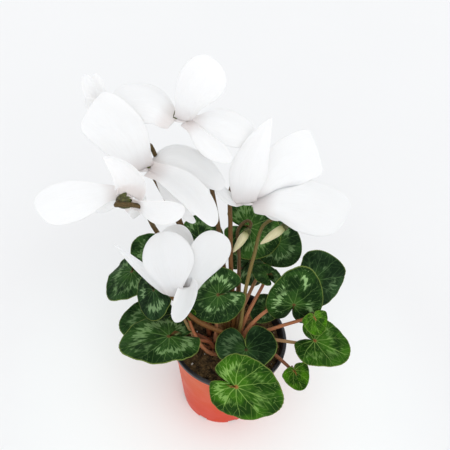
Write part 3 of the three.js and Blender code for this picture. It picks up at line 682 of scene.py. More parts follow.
def carry(bm, matrix):
    bmesh.ops.transform(bm, matrix=matrix, verts=bm.verts)


def thicken(sheet, thickness, **settings):
    """Gives a sheet its thickness, half of it to each side."""
    body = sheet.modifiers.new("thickness", "SOLIDIFY")
    body.thickness = thickness
    body.offset = 0
    for name, value in settings.items():
        setattr(body, name, value)


def skin_layers(bm):
    """A surface's own share of its length, and its place on the skin, for the streaks."""
    return bm.verts.layers.float.new("along"), bm.verts.layers.float_vector.new("skin")


def stalk_frames(points):
    """Directions along a course of points, with a side direction that doesn't twist on the way."""
    frames = []
    side = None
    for i, point in enumerate(points):
        ahead = (points[min(i + 1, len(points) - 1)] - points[max(i - 1, 0)]).normalized()
        side = ahead.orthogonal() if side is None else side - ahead * side.dot(ahead)
        side.normalize()
        up = ahead.cross(side)
        turn = Matrix((side, up, ahead)).transposed().to_4x4()
        frames.append(Matrix.Translation(point) @ turn)
    return frames


def grow_stalk(points, radii, sides=12):
    """A round stalk along a course of points, extruded ring by ring."""
    bm = bmesh.new()
    frames = stalk_frames(points)
    along, skin = skin_layers(bm)
    bmesh.ops.create_circle(bm, segments=sides, radius=1, matrix=Matrix.Identity(4))
    ring = list(bm.verts)
    flat = [vert.co.copy() for vert in ring]
    edges = list(bm.edges)
    bmesh.ops.contextual_create(bm, geom=edges)
    length = 0
    for i, place in enumerate(frames):
        if i:
            length += (points[i] - points[i - 1]).length
            made = bmesh.ops.extrude_edge_only(bm, edges=edges)["geom"]
            fresh = [item for item in made if isinstance(item, bmesh.types.BMVert)]
            edges = [item for item in made if isinstance(item, bmesh.types.BMEdge)]
            edges = [e for e in edges if e.verts[0] in fresh and e.verts[1] in fresh]
            before = {tuple(round(c, 7) for c in vert.co): n for n, vert in enumerate(ring)}
            order = [None] * sides
            for vert in fresh:
                order[before[tuple(round(c, 7) for c in vert.co)]] = vert
            ring = order
        for n, vert in enumerate(ring):
            knot = 1 + 0.035 * noise.noise(Vector((flat[n].x, flat[n].y, length * 90)) * 1.3 + points[0] * 50)
            vert.co = place @ (flat[n] * radii[i] * knot)
            vert[along] = i / (len(frames) - 1)
            vert[skin] = Vector((flat[n].x, flat[n].y, length * 100))
    bmesh.ops.contextual_create(bm, geom=edges)
    bmesh.ops.recalc_face_normals(bm, faces=bm.faces)
    return bm


# A fleshy stalk: fine lengthwise streaks, a change of colour along its way, and a faint down.
fleshy, takes, gives = new_effect(
    "fleshy_skin",
    [
        ("Skin", "Vector", None), ("Along", "Float", 0.0),
        ("Low", "Color", (0.3, 0.08, 0.05, 1)), ("High", "Color", (0.2, 0.15, 0.05, 1)),
        ("Turning", "Float", 0.5),
    ],
    [("Colour", "Color"), ("Height", "Float"), ("Roughness", "Float")],
)
streaks = cloudy(stretch(takes["Skin"], (2.4, 2.4, 0.35)), 2, 4)
specks = cloudy(stretch(takes["Skin"], (3, 3, 4)), 2, 3)
mottled = plus(takes["Along"], between(streaks, 0.3, 0.7, -0.22, 0.22))
change = between(mottled, minus(takes["Turning"], 0.3), plus(takes["Turning"], 0.3))
colour = tint(change, takes["Low"], takes["High"])
shade = between(specks, 0.4, 0.7, 0.0, 0.35)
feed(gives, "Colour", tint(shade, colour, (0.30, 0.17, 0.07, 1)))
feed(gives, "Height", plus(streaks, times(specks, 0.5)))
feed(gives, "Roughness", between(specks, 0.3, 0.7, 0.36, 0.55))


def stalk_surface(name, low, high, turning):
    material, shader = new_surface(
        name, Specular_IOR_Level=0.25, Subsurface_Weight=0.1, Subsurface_Radius=(0.004, 0.0015, 0.0008),
        Subsurface_Scale=0.4,
    )
    skin = use_effect(fleshy,
        {
            "Skin": carried(shader, "skin", "Vector"),
            "Along": carried(shader, "along", "Fac"),
            "Low": low,
            "High": high,
            "Turning": turning,
        },
    )
    dress(shader, skin["Colour"], skin["Roughness"], skin["Height"], 0.0003, 0.6)
    return material


pink_stalk = stalk_surface("pink_leaf_stalk", (0.44, 0.18, 0.085, 1), (0.32, 0.10, 0.04, 1), 0.6)
tan_stalk = stalk_surface("tan_leaf_stalk", (0.34, 0.14, 0.07, 1), (0.31, 0.21, 0.085, 1), 0.45)
red_stalk = stalk_surface("red_leaf_stalk", (0.24, 0.07, 0.03, 1), (0.14, 0.045, 0.014, 1), 0.5)
LEAF_STALK_FINISHES = [pink_stalk, tan_stalk, red_stalk]


SEAT_LIFT = 0.0004
STALK_SINK = 0.0012


def crown_seat(seat):
    return compass(seat[0], seat[1] * MM, CROWN_HEIGHT + SEAT_LIFT)


def rooted(points):
    """The same course, with its first point sunk into the crown."""
    return [points[0] - Vector((0, 0, STALK_SINK)), *points[1:]]


def bent_course(start, leaving, arriving, end, count):
    """Points on a cubic curve, which its two handles draw aside."""
    points = []
    for i in range(count + 1):
        s = i / count
        u = 1 - s
        points.append(start * u**3 + leaving * 3 * u * u * s + arriving * 3 * u * s * s + end * s**3)
    return points


def stalk_radii(points, thick, foot, head=0, head_reach=1.0):
    """Radii that taper by a fifth, with a swelling at the foot and another under the head."""
    last = len(points) - 1
    return [
        thick * (1 - 0.2 * i / last) + foot * math.exp(-i / 1.6) + head * math.exp(-(last - i) / head_reach)
        for i in range(last + 1)
    ]


for number, leaf in enumerate(LEAVES, 1):
    turn = leaf_turn(leaf)
    at = round_the_pot(leaf)
    bm = blade_mesh(leaf)
    carry(bm, Matrix.Translation(at) @ turn)
    blade = finish_piece(bm, f"leaf_{number:02d}_blade", *blade_surfaces(number, leaf))
    thicken(blade, thickness=0.0007, material_offset=1, use_even_offset=True)
    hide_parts(f"leaf_blade_{number:02d}")

    down = turn.to_3x3() @ Vector((0, 0, -1))
    end = at + down * 0.0002
    seat = crown_seat(leaf["seat"])
    first = seat + Vector((seat.x * 0.2, seat.y * 0.2, leaf["rise"] * MM))
    last = end + down * (end - seat).length * leaf.get("lead", 0.28)
    points = rooted(bent_course(seat, first, last, end, count=34))
    bm = grow_stalk(points, stalk_radii(points, thick=0.002, foot=0.0009, head=0.0005, head_reach=1.2))
    stalk = finish_piece(bm, f"leaf_{number:02d}_stalk", LEAF_STALK_FINISHES[number % 3])
    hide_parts(f"leaf_stalk_{number:02d}")

# ---------------------------------------------------------------- young leaves
# The newest leaves, still small and folded along the midrib, under the spread of the old ones. Their pink
# fleshy stalks grow straight out of the tuber's shoulder.

# course is the stalk's way from the tuber to its small blade. Millimetres, degrees.
YOUNG_LEAVES = [
    dict(course=[(-13, -15, 97), (-27, -18, 108), (-41, -11, 126), (-52, 0, 139)], heading=160, width=13),
    dict(course=[(-9, -18, 97), (-21, -22, 107), (-33, -18, 123), (-43, -8, 143)], heading=140, width=11),
    dict(course=[(-15, -12, 97), (-30, -14, 104), (-46, -12, 112), (-58, -2, 120)], heading=170, width=11),
]

YOUNG_STEPS = 22
for number, young in enumerate(YOUNG_LEAVES, 1):
    first, second, third, last = (Vector(place) * MM for place in young["course"])
    c1 = (second * 18 - third * 9 + last * 2 - first * 5) / 6
    c2 = (first * 2 - second * 9 + third * 18 - last * 5) / 6
    points = bent_course(first, c1, c2, last, YOUNG_STEPS)
    bm = grow_stalk(points, [0.0021 - 0.0007 * i / YOUNG_STEPS for i in range(YOUNG_STEPS + 1)])
    stalk = finish_piece(bm, f"young_{number}_stalk", LEAF_STALK_FINISHES[number % 2])
    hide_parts("tuber")

    leaf = dict(heading=young["heading"], dip=-35, bank=0, width=young["width"], fold=1.5, fresh=0.8, silver=0.3)
    bm = blade_mesh(leaf)
    carry(bm, Matrix.Translation(last) @ leaf_turn(leaf))
    blade = finish_piece(bm, f"young_{number}_blade", *blade_surfaces(30 + number, leaf))
    thicken(blade, thickness=0.0006, material_offset=1)
    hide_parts("tuber")

# ---------------------------------------------------------------- flower stalks and calyces
# Stout brown stalks that rise from the crown and turn over at the top, so that each flower hangs mouth
# down. Five olive-green sepals grow on the end and cup the back of the petals' tube.

# A flower is placed round the pot as a leaf is, by the middle of its corolla's mouth. tilt is how far the
# mouth looks away from straight down, and looks is the compass turn that it looks to. The stalk comes up on
# the calyx's side that hook gives, swing away from it. On its way it leans by a corner, given as (turn, out)
# round the pot, at the share upright of its height. seat is its place on the crown. Millimetres, degrees.
FLOWERS = [
    dict(turn=140, out=85, over=220, tilt=30, looks=-80, seat=(105, 9.5), hook=60, swing=14,
         by=(110, 75), upright=0.5),
    dict(turn=155, out=105, over=170, tilt=30, looks=-70, seat=(165, 9.5), hook=50, swing=14,
         by=(140, 75), upright=0.5),
    dict(turn=180, out=100, over=175, tilt=75, looks=55, seat=(195, 9.5), hook=20, swing=20,
         by=(150, 100), upright=0.5),
    dict(turn=150, out=150, over=185, tilt=30, looks=-20, seat=(135, 9.5), hook=30, swing=14, by=(135, 90),
         upright=0.5),
    dict(turn=90, out=45, over=145, tilt=30, looks=-80, seat=(75, 9.5), hook=160, swing=16,
         by=(105, 45), upright=0.5),
    dict(turn=-165, out=55, over=75, tilt=20, looks=-70, seat=(240, 9.5), hook=190, swing=10,
         by=(200, 50), upright=0.4),
]
TUBE_RADIUS = 0.0052
CALYX_LENGTH = 0.0114


def mouth_facing(flower):
    tilt, looks = math.radians(flower["tilt"]), math.radians(flower["looks"])
    return Vector((math.sin(tilt) * math.cos(looks), math.sin(tilt) * math.sin(looks), -math.cos(tilt)))


def hooked_marks(flower, back, facing):
    """Marks of a stalk that rises from the crown, leans out, and turns over into the back of a calyx."""
    side = compass(flower["hook"], 1) * flower["swing"] * MM
    seat = crown_seat(flower["seat"])
    start = seat + Vector((seat.x * 0.1, seat.y * 0.1, 0.018))
    below = back - facing * 0.004 + side - Vector((0, 0, 0.006))
    turn, out = flower["by"]
    height = start.z + (below.z - start.z) * flower["upright"]
    corner = compass(turn, out * MM, height)
    rising = [start * (1 - s) ** 2 + corner * 2 * s * (1 - s) + below * s * s for s in (0.35, 0.7)]
    over = [back - facing * 0.010 + side * 0.55, back - facing * 0.007 + side * 0.12]
    return [seat, start, *rising, below, *over, back]


def aimed(place, heading):
    """Carries a shape from the origin to a place, and turns its +Z to a heading."""
    return Matrix.Translation(place) @ Vector((0, 0, 1)).rotation_difference(heading).to_matrix().to_4x4()


def smooth_course(marks, step):
    """Even points on a centripetal Catmull-Rom curve through the marks."""
    ends = [marks[0] * 2 - marks[1], *marks, marks[-1] * 2 - marks[-2]]
    found = []
    for p0, p1, p2, p3 in zip(ends, ends[1:], ends[2:], ends[3:]):
        t0 = 0.0
        t1 = t0 + (p1 - p0).length ** 0.5
        t2 = t1 + (p2 - p1).length ** 0.5
        t3 = t2 + (p3 - p2).length ** 0.5
        count = max(2, round((p2 - p1).length / step))
        for i in range(count):
            s = t1 + (t2 - t1) * i / count
            a1 = p0 * ((t1 - s) / (t1 - t0)) + p1 * ((s - t0) / (t1 - t0))
            a2 = p1 * ((t2 - s) / (t2 - t1)) + p2 * ((s - t1) / (t2 - t1))
            a3 = p2 * ((t3 - s) / (t3 - t2)) + p3 * ((s - t2) / (t3 - t2))
            b1 = a1 * ((t2 - s) / (t2 - t0)) + a2 * ((s - t0) / (t2 - t0))
            b2 = a2 * ((t3 - s) / (t3 - t1)) + a3 * ((s - t1) / (t3 - t1))
            found.append(b1 * ((t2 - s) / (t2 - t1)) + b2 * ((s - t1) / (t2 - t1)))
    found.append(marks[-1])
    return found


brown_stalk = stalk_surface("brown_flower_stalk", (0.095, 0.045, 0.011, 1), (0.055, 0.038, 0.008, 1), 0.6)
red_brown_stalk = stalk_surface("red_brown_flower_stalk", (0.135, 0.055, 0.012, 1), (0.085, 0.042, 0.008, 1), 0.6)
green_stalk = stalk_surface("green_flower_stalk", (0.17, 0.13, 0.032, 1), (0.06, 0.06, 0.014, 1), 0.75)
FLOWER_STALK_FINISHES = [brown_stalk] * 4 + [red_brown_stalk] * 2

sepal_green, shader = new_surface("olive_sepals", Specular_IOR_Level=0.4)
place = object_place(shader)
run = carried(shader, "along", "Fac")
skin = carried(shader, "skin", "Vector")
lines = cloudy(skin, 5, 3)
cloud = cloudy(place, 420, 3)
colour = tint(run, (0.055, 0.05, 0.012, 1), (0.09, 0.12, 0.018, 1))
colour = tint(between(lines, 0.45, 0.6, 0.0, 0.75), colour, (0.03, 0.022, 0.008, 1))
colour = tint(between(cloud, 0.5, 0.7, 0.0, 0.4), colour, (0.24, 0.24, 0.06, 1))
dress(shader, colour, between(cloud, 0.3, 0.7, 0.4, 0.6), lines, 0.0004)


def calyx_mesh(length, radius):
    """Five pointed sepals in a cup, with its rim facing +Z and the mouth of the petals' tube at the origin."""
    shares = [
        (0, 1), (0.42, 1), (0.72, 0.94), (1, 0.8), (1.16, 0.62), (1.24, 0.45), (1.3, 0.32), (1.2, 0.31),
        (1.1, 0.5), (0.9, 0.7), (0, 0.74),
    ]
    bm = lathe([(radius * out * 1000, -length * back * 1000) for out, back in shares], steps=60)
    along, skin = skin_layers(bm)
    for vert in bm.verts:
        reach = max(0, (vert.co.z + length * 0.7) / (length * 0.4))
        turn = math.atan2(vert.co.y, vert.co.x)
        lobe = abs(math.cos(2.5 * turn)) ** 0.8
        vert.co.z += (lobe - 0.62) * length * 0.3 * reach
        bulge = 1 + 0.1 * (lobe - 0.5)
        vert.co.x *= bulge
        vert.co.y *= bulge
        vert[along] = min(1, (vert.co.z + length) / length)
        vert[skin] = Vector((math.cos(turn) * 1.6, math.sin(turn) * 1.6, vert.co.z * 60))
    return bm


for number, flower in enumerate(FLOWERS, 1):
    facing = mouth_facing(flower)
    mouth = round_the_pot(flower)
    back = mouth - facing * (CALYX_LENGTH - STALK_SINK)
    points = rooted(smooth_course(hooked_marks(flower, back, facing), step=0.0042))
    bm = grow_stalk(points, stalk_radii(points, thick=0.0025, foot=0.0008, head=0.0006), sides=14)
    stalk = finish_piece(bm, f"flower_{number}_peduncle", FLOWER_STALK_FINISHES[number - 1])
    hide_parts(f"flower_{number}_stalk")

    bm = calyx_mesh(CALYX_LENGTH, TUBE_RADIUS)
    carry(bm, aimed(mouth, facing))
    calyx = finish_piece(bm, f"flower_{number}_calyx", sepal_green)
    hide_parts(f"flower_{number}_stalk")

# ---------------------------------------------------------------- corollas
# Five thin white petals that grow together into a short tube, and sweep back from its mouth. They are satin
# and a little translucent, with faint lengthwise veins, and go lavender-beige at the base: partly their own tint,
# partly painted shade in the hollow of the mouth.

petal_white, shader = new_surface(
    "white_petal", Specular_IOR_Level=0.25, Subsurface_Weight=0.75, Subsurface_Radius=(0.006, 0.0055, 0.005),
    Subsurface_Scale=1.0, Sheen_Weight=0.1, Sheen_Roughness=0.5,
)
run = carried(shader, "along", "Fac")
skin = carried(shader, "skin", "Vector")
lines = cloudy(stretch(skin, (1.1, 9.5, 1)), 2.2, 3, Distortion=0.25)
satin = cloudy(skin, 60, 3)
# Lavender-beige towards the base: partly the petals' own tint, partly painted shade where they meet in the mouth
# of the tube.
colour = tint(between(run, 0.02, 0.3), (0.66, 0.58, 0.56, 1), (0.87, 0.866, 0.858, 1))
vein_share = times(between(lines, 0.52, 0.68), between(run, 0.1, 0.9, 0.24, 0.08)
)
colour = tint(vein_share, colour, (0.78, 0.75, 0.74, 1))
relief = plus(lines, times(satin, 0.2))
dress(shader, colour, between(satin, 0.3, 0.7, 0.45, 0.6), relief, 0.0006, 0.35)


# The petals are laid out as a flower is seen from the front and above: across, up and back from its mouth.
VIEW_HEIGHT = math.radians(45)
VIEW_ROLL = math.radians(7)
ahead = Vector((0, math.cos(VIEW_HEIGHT), -math.sin(VIEW_HEIGHT)))
upright = Vector((0, math.sin(VIEW_HEIGHT), math.cos(VIEW_HEIGHT)))
rightwards = Vector((1, 0, 0))
across_view = rightwards * math.cos(VIEW_ROLL) + upright * math.sin(VIEW_ROLL)
up_view = upright * math.cos(VIEW_ROLL) - rightwards * math.sin(VIEW_ROLL)
LEAN = Matrix((across_view, up_view, ahead)).transposed()


def leaning(aim, length, near):
    """A place off a mouth: the way it lies (0 right, 90 up), how far, and how much nearer the front."""
    turn = math.radians(aim)
    return LEAN @ Vector((length * math.cos(turn), length * math.sin(turn), -near))


# aim, length and near place a petal's tip. The petal sets out towards leaves, and bends round a place sweep
# away that is early nearer the front. face is the way that its flat side looks at its base and at its tip,
# and roll is how far its edges turn, towards that side or away from it. Millimetres, degrees.
PETALS = [
    [
        dict(aim=52, length=51, near=35, leaves=66, sweep=20, early=30, face=[(0.1, -0.4, -1), (0, 0, -1)],
             width=39, base=0.45, widest=0.66, blunt=2.4, roll=(-0.8, -0.3)),
        dict(aim=75, length=50, near=10, leaves=85, sweep=28, early=0, face=[(0.6, 0, -0.8), (0.5, 0, -0.9)],
             width=18, roll=(0.4, 0.2)),
        dict(aim=165, length=65, near=-20, leaves=135, sweep=40, early=-5, face=[(0, 0.3, -1), (0, 0.2, -1)],
             width=42, base=0.55, widest=0.6, blunt=2.6, roll=(-0.9, -0.4)),
        dict(aim=-10, length=65, near=-30, leaves=5, sweep=35, early=-8, face=[(-0.2, 0, -1), (0.1, 0.1, -1)],
             width=32, roll=(-0.5, -0.3)),
        dict(aim=-40, length=55, near=15, leaves=-40, sweep=28, early=5, face=[(0.3, 0.3, -1), (0.2, 0.2, -1)],
             width=22, base=0.6, blunt=1.7, roll=(-1.0, -0.6)),
    ],
    [
        dict(aim=130, length=65, near=30, leaves=105, sweep=30, early=35, face=[(0.2, -0.4, -1), (0, 0, -1)],
             width=45, base=0.58, widest=0.55, blunt=5, roll=(-0.5, -0.15)),
        dict(aim=-13, length=72, near=0, leaves=48, sweep=40, early=-8, face=[(0.1, 0.2, -1), (0.3, 0.2, -1)],
             width=32, base=0.5, widest=0.5, roll=(-0.8, -0.4)),
        dict(aim=-38, length=80, near=15, leaves=-12, sweep=40, early=15, face=[(0.2, 0.2, -1), (0.4, 0.3, -0.8)],
             width=29, base=0.6, widest=0.5, roll=(0.8, 0.5)),
        dict(aim=-45, length=65, near=5, leaves=-45, sweep=32, early=0,
             face=[(-0.7, -0.5, -0.5), (-0.6, -0.5, -0.6)], width=20, roll=(0.5, 0.4)),
        dict(aim=135, length=40, near=-20, leaves=130, sweep=20, early=-10, face=[(0.2, 0, -1), (0.2, 0, -1)],
             width=26),
    ],
    [
        dict(aim=-170, length=65, near=35, leaves=170, sweep=35, early=18, face=[(0, 0.3, -1), (0.1, 0.2, -1)],
             width=36, widest=0.62, blunt=2.8, roll=(-0.6, -0.3)),
        dict(aim=115, length=35, near=30, leaves=70, sweep=22, early=10,
             face=[(0.1, -0.6, -0.8), (0.4, -0.4, -0.8)], width=35, base=0.9, widest=0.3, blunt=1.4,
             roll=(1.5, 1.0)),
        dict(aim=-12, length=48, near=4, leaves=-24, sweep=24, early=12,
             face=[(0, -0.7, -0.7), (0.1, -0.6, -0.7)], width=27, base=0.5, roll=(0.8, 0.5)),
        dict(aim=-40, length=10, near=-40, leaves=-40, sweep=8, early=-20,
             face=[(0.7, -0.3, -0.6), (0.7, -0.3, -0.6)], width=24),
        dict(aim=180, length=45, near=-20, leaves=180, sweep=22, early=-10, face=[(0, -0.3, -1), (0, -0.3, -1)],
             width=24),
    ],
    [
        dict(aim=112, length=49, near=25, leaves=122, sweep=28, early=10, face=[(0.3, 0, -1), (0.2, 0, -1)],
             width=14, roll=(0.6, 0.3)),
        dict(aim=103, length=50, near=15, leaves=113, sweep=28, early=5, face=[(0.5, 0, -0.9), (0.3, 0, -1)],
             width=14, roll=(0.6, 0.3)),
        dict(aim=122, length=30, near=5, leaves=118, sweep=18, early=0, face=[(0.3, 0.3, -1), (0.3, 0.3, -1)],
             width=14),
        dict(aim=130, length=40, near=-10, leaves=125, sweep=20, early=-5,
             face=[(0.5, 0.4, -0.8), (0.5, 0.4, -0.8)], width=14),
        dict(aim=125, length=30, near=25, leaves=110, sweep=18, early=12, face=[(0.6, 0, -0.8), (0.6, 0, -0.8)],
             width=14),
    ],
    [
        dict(aim=75, length=75, near=35, leaves=100, sweep=30, early=30, face=[(0, -0.4, -1), (-0.1, -0.1, -1)],
             width=36, base=0.6, widest=0.38, blunt=1.35, roll=(-0.6, -0.4)),
        dict(aim=37, length=76, near=25, leaves=58, sweep=40, early=10, face=[(-0.1, -0.2, -1), (0.1, 0, -1)],
             width=45, base=0.4, widest=0.72, blunt=6, roll=(-0.3, -0.15)),
        dict(aim=-10, length=85, near=30, leaves=10, sweep=45, early=15, face=[(-0.1, 0.1, -1), (0.1, 0.2, -1)],
             width=50, base=0.4, widest=0.6, blunt=3, roll=(-0.5, -0.2), lip=(-1, -6)),
        dict(aim=150, length=35, near=15, leaves=175, sweep=15, early=5, face=[(0.3, 0.5, -0.8), (0.3, 0.4, -1)],
             width=14),
        dict(aim=-10, length=40, near=-20, leaves=-5, sweep=20, early=-10,
             face=[(0.3, 0.5, -0.8), (0.3, 0.5, -0.8)], width=26, roll=(-0.4, -0.3)),
    ],
    [
        dict(aim=100, length=60, near=30, leaves=105, sweep=25, early=30, face=[(0, -0.3, -1), (0, 0.2, -1)],
             width=48, base=0.25, widest=0.56, blunt=2.1, flare=2.5, roll=(-0.5, -0.4)),
        dict(aim=55, length=70, near=30, leaves=50, sweep=35, early=10, face=[(0.3, -0.2, -1), (0.1, 0, -1)],
             width=36, widest=0.68, roll=(-0.4, -0.2)),
        dict(aim=-90, length=20, near=35, leaves=50, sweep=30, early=0,
             face=[(-0.3, 0.2, -1), (-0.1, -0.2, -1)], width=21, base=0.65, widest=0.7, blunt=2.4,
             roll=(1.1, 0.6)),
        dict(aim=140, length=75, near=15, leaves=145, sweep=35, early=5,
             face=[(-0.3, -0.6, -0.7), (-0.2, -0.4, -0.9)], width=16, base=0.5, widest=0.35, blunt=1.3,
             roll=(0.3, 0.2)),
        dict(aim=95, length=65, near=0, leaves=90, sweep=35, early=-5, face=[(0.1, -0.2, -1), (0.3, 0, -1)],
             width=36, blunt=2.6, roll=(0.4, 0.5)),
    ],
]


def petal_half_width(share, petal):
    """Half the width at a share of the length, for a petal one unit wide."""
    widest = petal.get("widest", 0.58)
    base = petal.get("base", 0.34)
    blunt = petal.get("blunt", 2.2)
    if share < widest:
        s = share / widest
        return 0.5 * (base + (1 - base) * s * s * (3 - 2 * s))
    s = (share - widest) / (1 - widest)
    return 0.5 * max(0.035, (1 - s**blunt) ** (1 / blunt))


def petal_point(share, across, petal, facing):
    """A point of a petal's sheet, measured from the mouth."""
    tip = leaning(petal["aim"], petal["length"], petal["near"])
    bend = leaning(petal["leaves"], petal["sweep"], petal["early"])
    outwards = (bend - facing * bend.dot(facing)).normalized()
    root = outwards * (TUBE_RADIUS * 1000 - 1.2) - facing
    u = 1 - share
    point = root * u * u + bend * 2 * u * share + tip * share * share
    along = ((bend - root) * u + (tip - bend) * share).normalized()
    turned_back = share / 0.09 * math.exp(1 - share / 0.09)
    point += (outwards * petal.get("flare", 4) + facing * 1.5) * turned_back
    base_face, tip_face = (LEAN @ Vector(side) for side in petal["face"])
    up = base_face.lerp(tip_face, share)
    up = (up - along * up.dot(along)).normalized()
    side = up.cross(along)
    half = petal_half_width(share, petal) * petal["width"]
    base_roll, tip_roll = petal.get("roll", (-0.3, -0.2))
    roll = base_roll + (tip_roll - base_roll) * share
    if abs(roll) > 0.02:
        reach, lift = half * math.sin(roll * across) / roll, half * (1 - math.cos(roll * across)) / roll
    else:
        reach, lift = half * across, 0
    lip = petal.get("lip")
    if lip:
        lift += lip[1] * math.exp(-(((1 - across * lip[0]) / 0.22) ** 2)) * math.sin(math.pi * min(1, share * 1.1))
    seed = petal["width"] * 1.7 + tip.x * 0.31
    lift += 0.05 * half * across * across * math.sin(2.4 * math.pi * share + across + seed)
    lift += 0.25 * math.sin(across * 9 + seed) * math.sin(math.pi * share)
    return (point + side * reach + up * lift) * MM


PETAL_STEPS = 34
PETAL_LANES = 16


def petal_mesh(petal, facing):
    bm = bmesh.new()
    bmesh.ops.create_grid(bm, x_segments=PETAL_STEPS, y_segments=PETAL_LANES, size=1)
    along, skin = skin_layers(bm)
    for vert in bm.verts:
        even = (vert.co.x + 1) / 2
        share = even * 0.35 + math.sin(even * math.pi / 2) * 0.65
        across = vert.co.y
        vert[along] = share
        vert[skin] = Vector((share * 2, across, petal["aim"] * 0.1 + petal["width"]))
        vert.co = petal_point(share, across, petal, facing)
    return bm


tube_profile = [
    (0, -7.0), (2.4, -6.9), (4.2, -6.2), (5.1, -4.6), (5.3, -2.6), (5.2, -1.0), (5.5, 0.3), (5.0, 0.5),
    (4.3, -0.6), (4.1, -2.6), (3.7, -4.6), (2.4, -5.6), (0, -5.9),
]
for number, flower in enumerate(FLOWERS, 1):
    facing = mouth_facing(flower)
    mouth = round_the_pot(flower)
    bm = lathe(tube_profile, steps=40)
    along, skin = skin_layers(bm)
    for vert in bm.verts:
        turn = math.atan2(vert.co.y, vert.co.x)
        vert[along] = max(0, (vert.co.z + 0.007) / 0.05)
        vert[skin] = Vector((vert.co.z * 40, turn * 1.4, 0))
        vert.co.x *= 1 + 0.04 * math.cos(5 * turn)
        vert.co.y *= 1 + 0.04 * math.cos(5 * turn)
    carry(bm, aimed(mouth, facing))
    tube = finish_piece(bm, f"flower_{number}_tube", petal_white)
    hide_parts(f"flower_{number}_corolla")
    for count, petal in enumerate(PETALS[number - 1], 1):
        bm = petal_mesh(petal, facing)
        bmesh.ops.translate(bm, vec=mouth, verts=bm.verts)
        sheet = finish_piece(bm, f"flower_{number}_petal_{count}", petal_white)
        thicken(sheet, thickness=0.0005)
        rounding = sheet.modifiers.new("smooth", "SUBSURF")
        rounding.levels = rounding.render_levels = 1
        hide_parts(f"flower_{number}_corolla")

# ---------------------------------------------------------------- buds
# Two young flowers, still rolled to a point and nodding on hooked stalks. The petals wind round each other,
# cream with a green flush where small sepals hold them.

# A bud is placed by its wide end, and aim, length and near are the way that it hangs, as for a petal.
BUDS = [
    dict(turn=55, out=70, over=110, aim=-145, length=30, near=5, seat=(15, 9.5), hook=180, swing=24, by=(75, 30),
         upright=0.5),
    dict(turn=85, out=60, over=95, aim=-125, length=26, near=5, seat=(45, 9.5), hook=180, swing=12, by=(85, 40),
         upright=0.5),
]

rolled_petals, shader = new_surface(
    "rolled_petals", Specular_IOR_Level=0.35, Subsurface_Weight=0.2, Subsurface_Radius=(0.004, 0.004, 0.002),
    Subsurface_Scale=0.4,
)
run = carried(shader, "along", "Fac")
skin = carried(shader, "skin", "Vector")
lines = cloudy(skin, 4, 3)
colour = tint(between(run, 0.02, 0.4), (0.22, 0.24, 0.07, 1), (0.64, 0.60, 0.37, 1))
colour = tint(between(lines, 0.5, 0.66, 0.0, 0.35), colour, (0.42, 0.38, 0.18, 1))
dress(shader, colour, between(lines, 0.3, 0.7, 0.42, 0.58), lines, 0.0004)

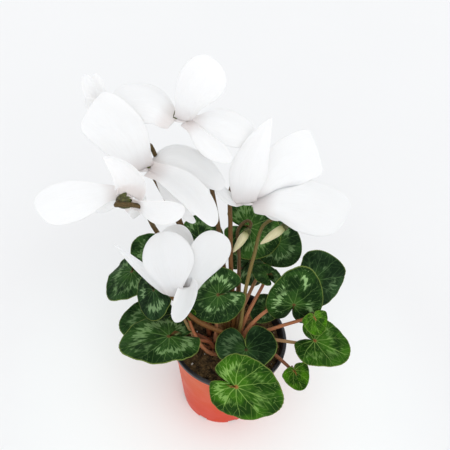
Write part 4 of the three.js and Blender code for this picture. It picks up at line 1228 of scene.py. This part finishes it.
BUD_RADIUS = 4.4
BUD_CALYX_AT = 0.0046
BUD_STALK_IN = 0.0016
shares = [0, 0.02, 0.08, 0.16, 0.26, 0.36, 0.46, 0.56, 0.66, 0.76, 0.86, 0.93, 0.98, 1]
widths = [0, 0.45, 0.7, 0.86, 0.97, 1.0, 0.96, 0.88, 0.76, 0.62, 0.45, 0.31, 0.17, 0]
for number, bud in enumerate(BUDS, 1):
    base = round_the_pot(bud)
    hanging = leaning(bud["aim"], bud["length"], bud["near"]) * MM
    heading, length = hanging.normalized(), hanging.length
    bm = lathe([(BUD_RADIUS * w, s * length * 1000) for s, w in zip(shares, widths)], steps=50)
    along, skin = skin_layers(bm)
    for vert in bm.verts:
        share = vert.co.z / length
        turn = math.atan2(vert.co.y, vert.co.x) + share * 2.6
        groove = 1 - 0.16 * (1 - abs(math.sin(2.5 * turn))) ** 2
        vert.co.x *= groove
        vert.co.y *= groove
        vert[along] = share
        vert[skin] = Vector((math.cos(turn) * 1.5, math.sin(turn) * 1.5, share * 0.7))
    carry(bm, aimed(base, heading))
    body = finish_piece(bm, f"bud_{number}_petals", rolled_petals)
    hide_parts(f"bud_{number}")

    bm = calyx_mesh(length=0.0075, radius=0.0031)
    carry(bm, aimed(base + heading * BUD_CALYX_AT, heading))
    calyx = finish_piece(bm, f"bud_{number}_calyx", sepal_green)
    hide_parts(f"bud_{number}_stalk")

    end = base - heading * BUD_STALK_IN
    points = rooted(smooth_course(hooked_marks(bud, end, heading), step=0.004))
    bm = grow_stalk(points, stalk_radii(points, thick=0.0021, foot=0.0007))
    stalk = finish_piece(bm, f"bud_{number}_peduncle", green_stalk if number == 1 else brown_stalk)
    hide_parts(f"bud_{number}_stalk")

# ---------------------------------------------------------------- floor, light and camera
# A pale matt studio floor with painted light round the pot, which whitens away the pot's shadow and the pink it
# throws, one large soft lamp high up behind the camera, and a bright even surround. The camera looks down at the
# plant from the front.

bm = bmesh.new()
bmesh.ops.create_grid(bm, x_segments=1, y_segments=1, size=6)
floor = to_object(bm, "studio_floor")
pale, shader = new_surface("pale_floor", Roughness=0.9, Specular_IOR_Level=0.1)
place = object_place(shader)
cloud = cloudy(place, 3, 2)
paper = tint(cloud, (0.80, 0.805, 0.807, 1), (0.82, 0.825, 0.826, 1))
# Painted light: near the pot the floor is painted whiter and a little green, to cancel the pot's shadow and its
# pink bounce.
from_pot = reckon_places("LENGTH", place)["Value"]
paper = tint(between(from_pot, 0.06, 0.32, 1.0, 0.0), paper, (0.93, 0.975, 0.965, 1))
feed(shader, "Base Color", paper)
floor.data.materials.append(pale)

surround = bpy.data.worlds.new("studio")
surround.use_nodes = True
glow = surround.node_tree.nodes["Background"].inputs
glow["Color"].default_value = (0.97, 0.98, 1.0, 1)
glow["Strength"].default_value = 0.95
scene.world = surround

LAMP_SHINES = Vector((-0.2, 0.8, -0.85))
lamp_data = bpy.data.lights.new("key_lamp", "SUN")
lamp_data.angle = math.radians(75)
lamp_data.energy = 1.0
lamp_data.color = (1.0, 0.985, 0.965)
lamp = bpy.data.objects.new("key_lamp", lamp_data)
lamp.rotation_mode = "QUATERNION"
lamp.rotation_quaternion = LAMP_SHINES.to_track_quat("-Z", "Y")
lamp.location = LAMP_SHINES * -2
scene.collection.objects.link(lamp)

VIEW_CENTRE = Vector((-0.018, 0.03, 0.236))
VIEW_DISTANCE = 0.55
camera_data = bpy.data.cameras.new("camera")
camera_data.sensor_width = 36
camera_data.lens = 48
camera_data.clip_start = 0.01
camera = bpy.data.objects.new("camera", camera_data)
camera.matrix_world = Matrix.Translation(VIEW_CENTRE - ahead * VIEW_DISTANCE) @ Matrix(
    (across_view, up_view, -ahead)
).transposed().to_4x4()
scene.collection.objects.link(camera)
scene.camera = camera

bpy.context.view_layer.update()
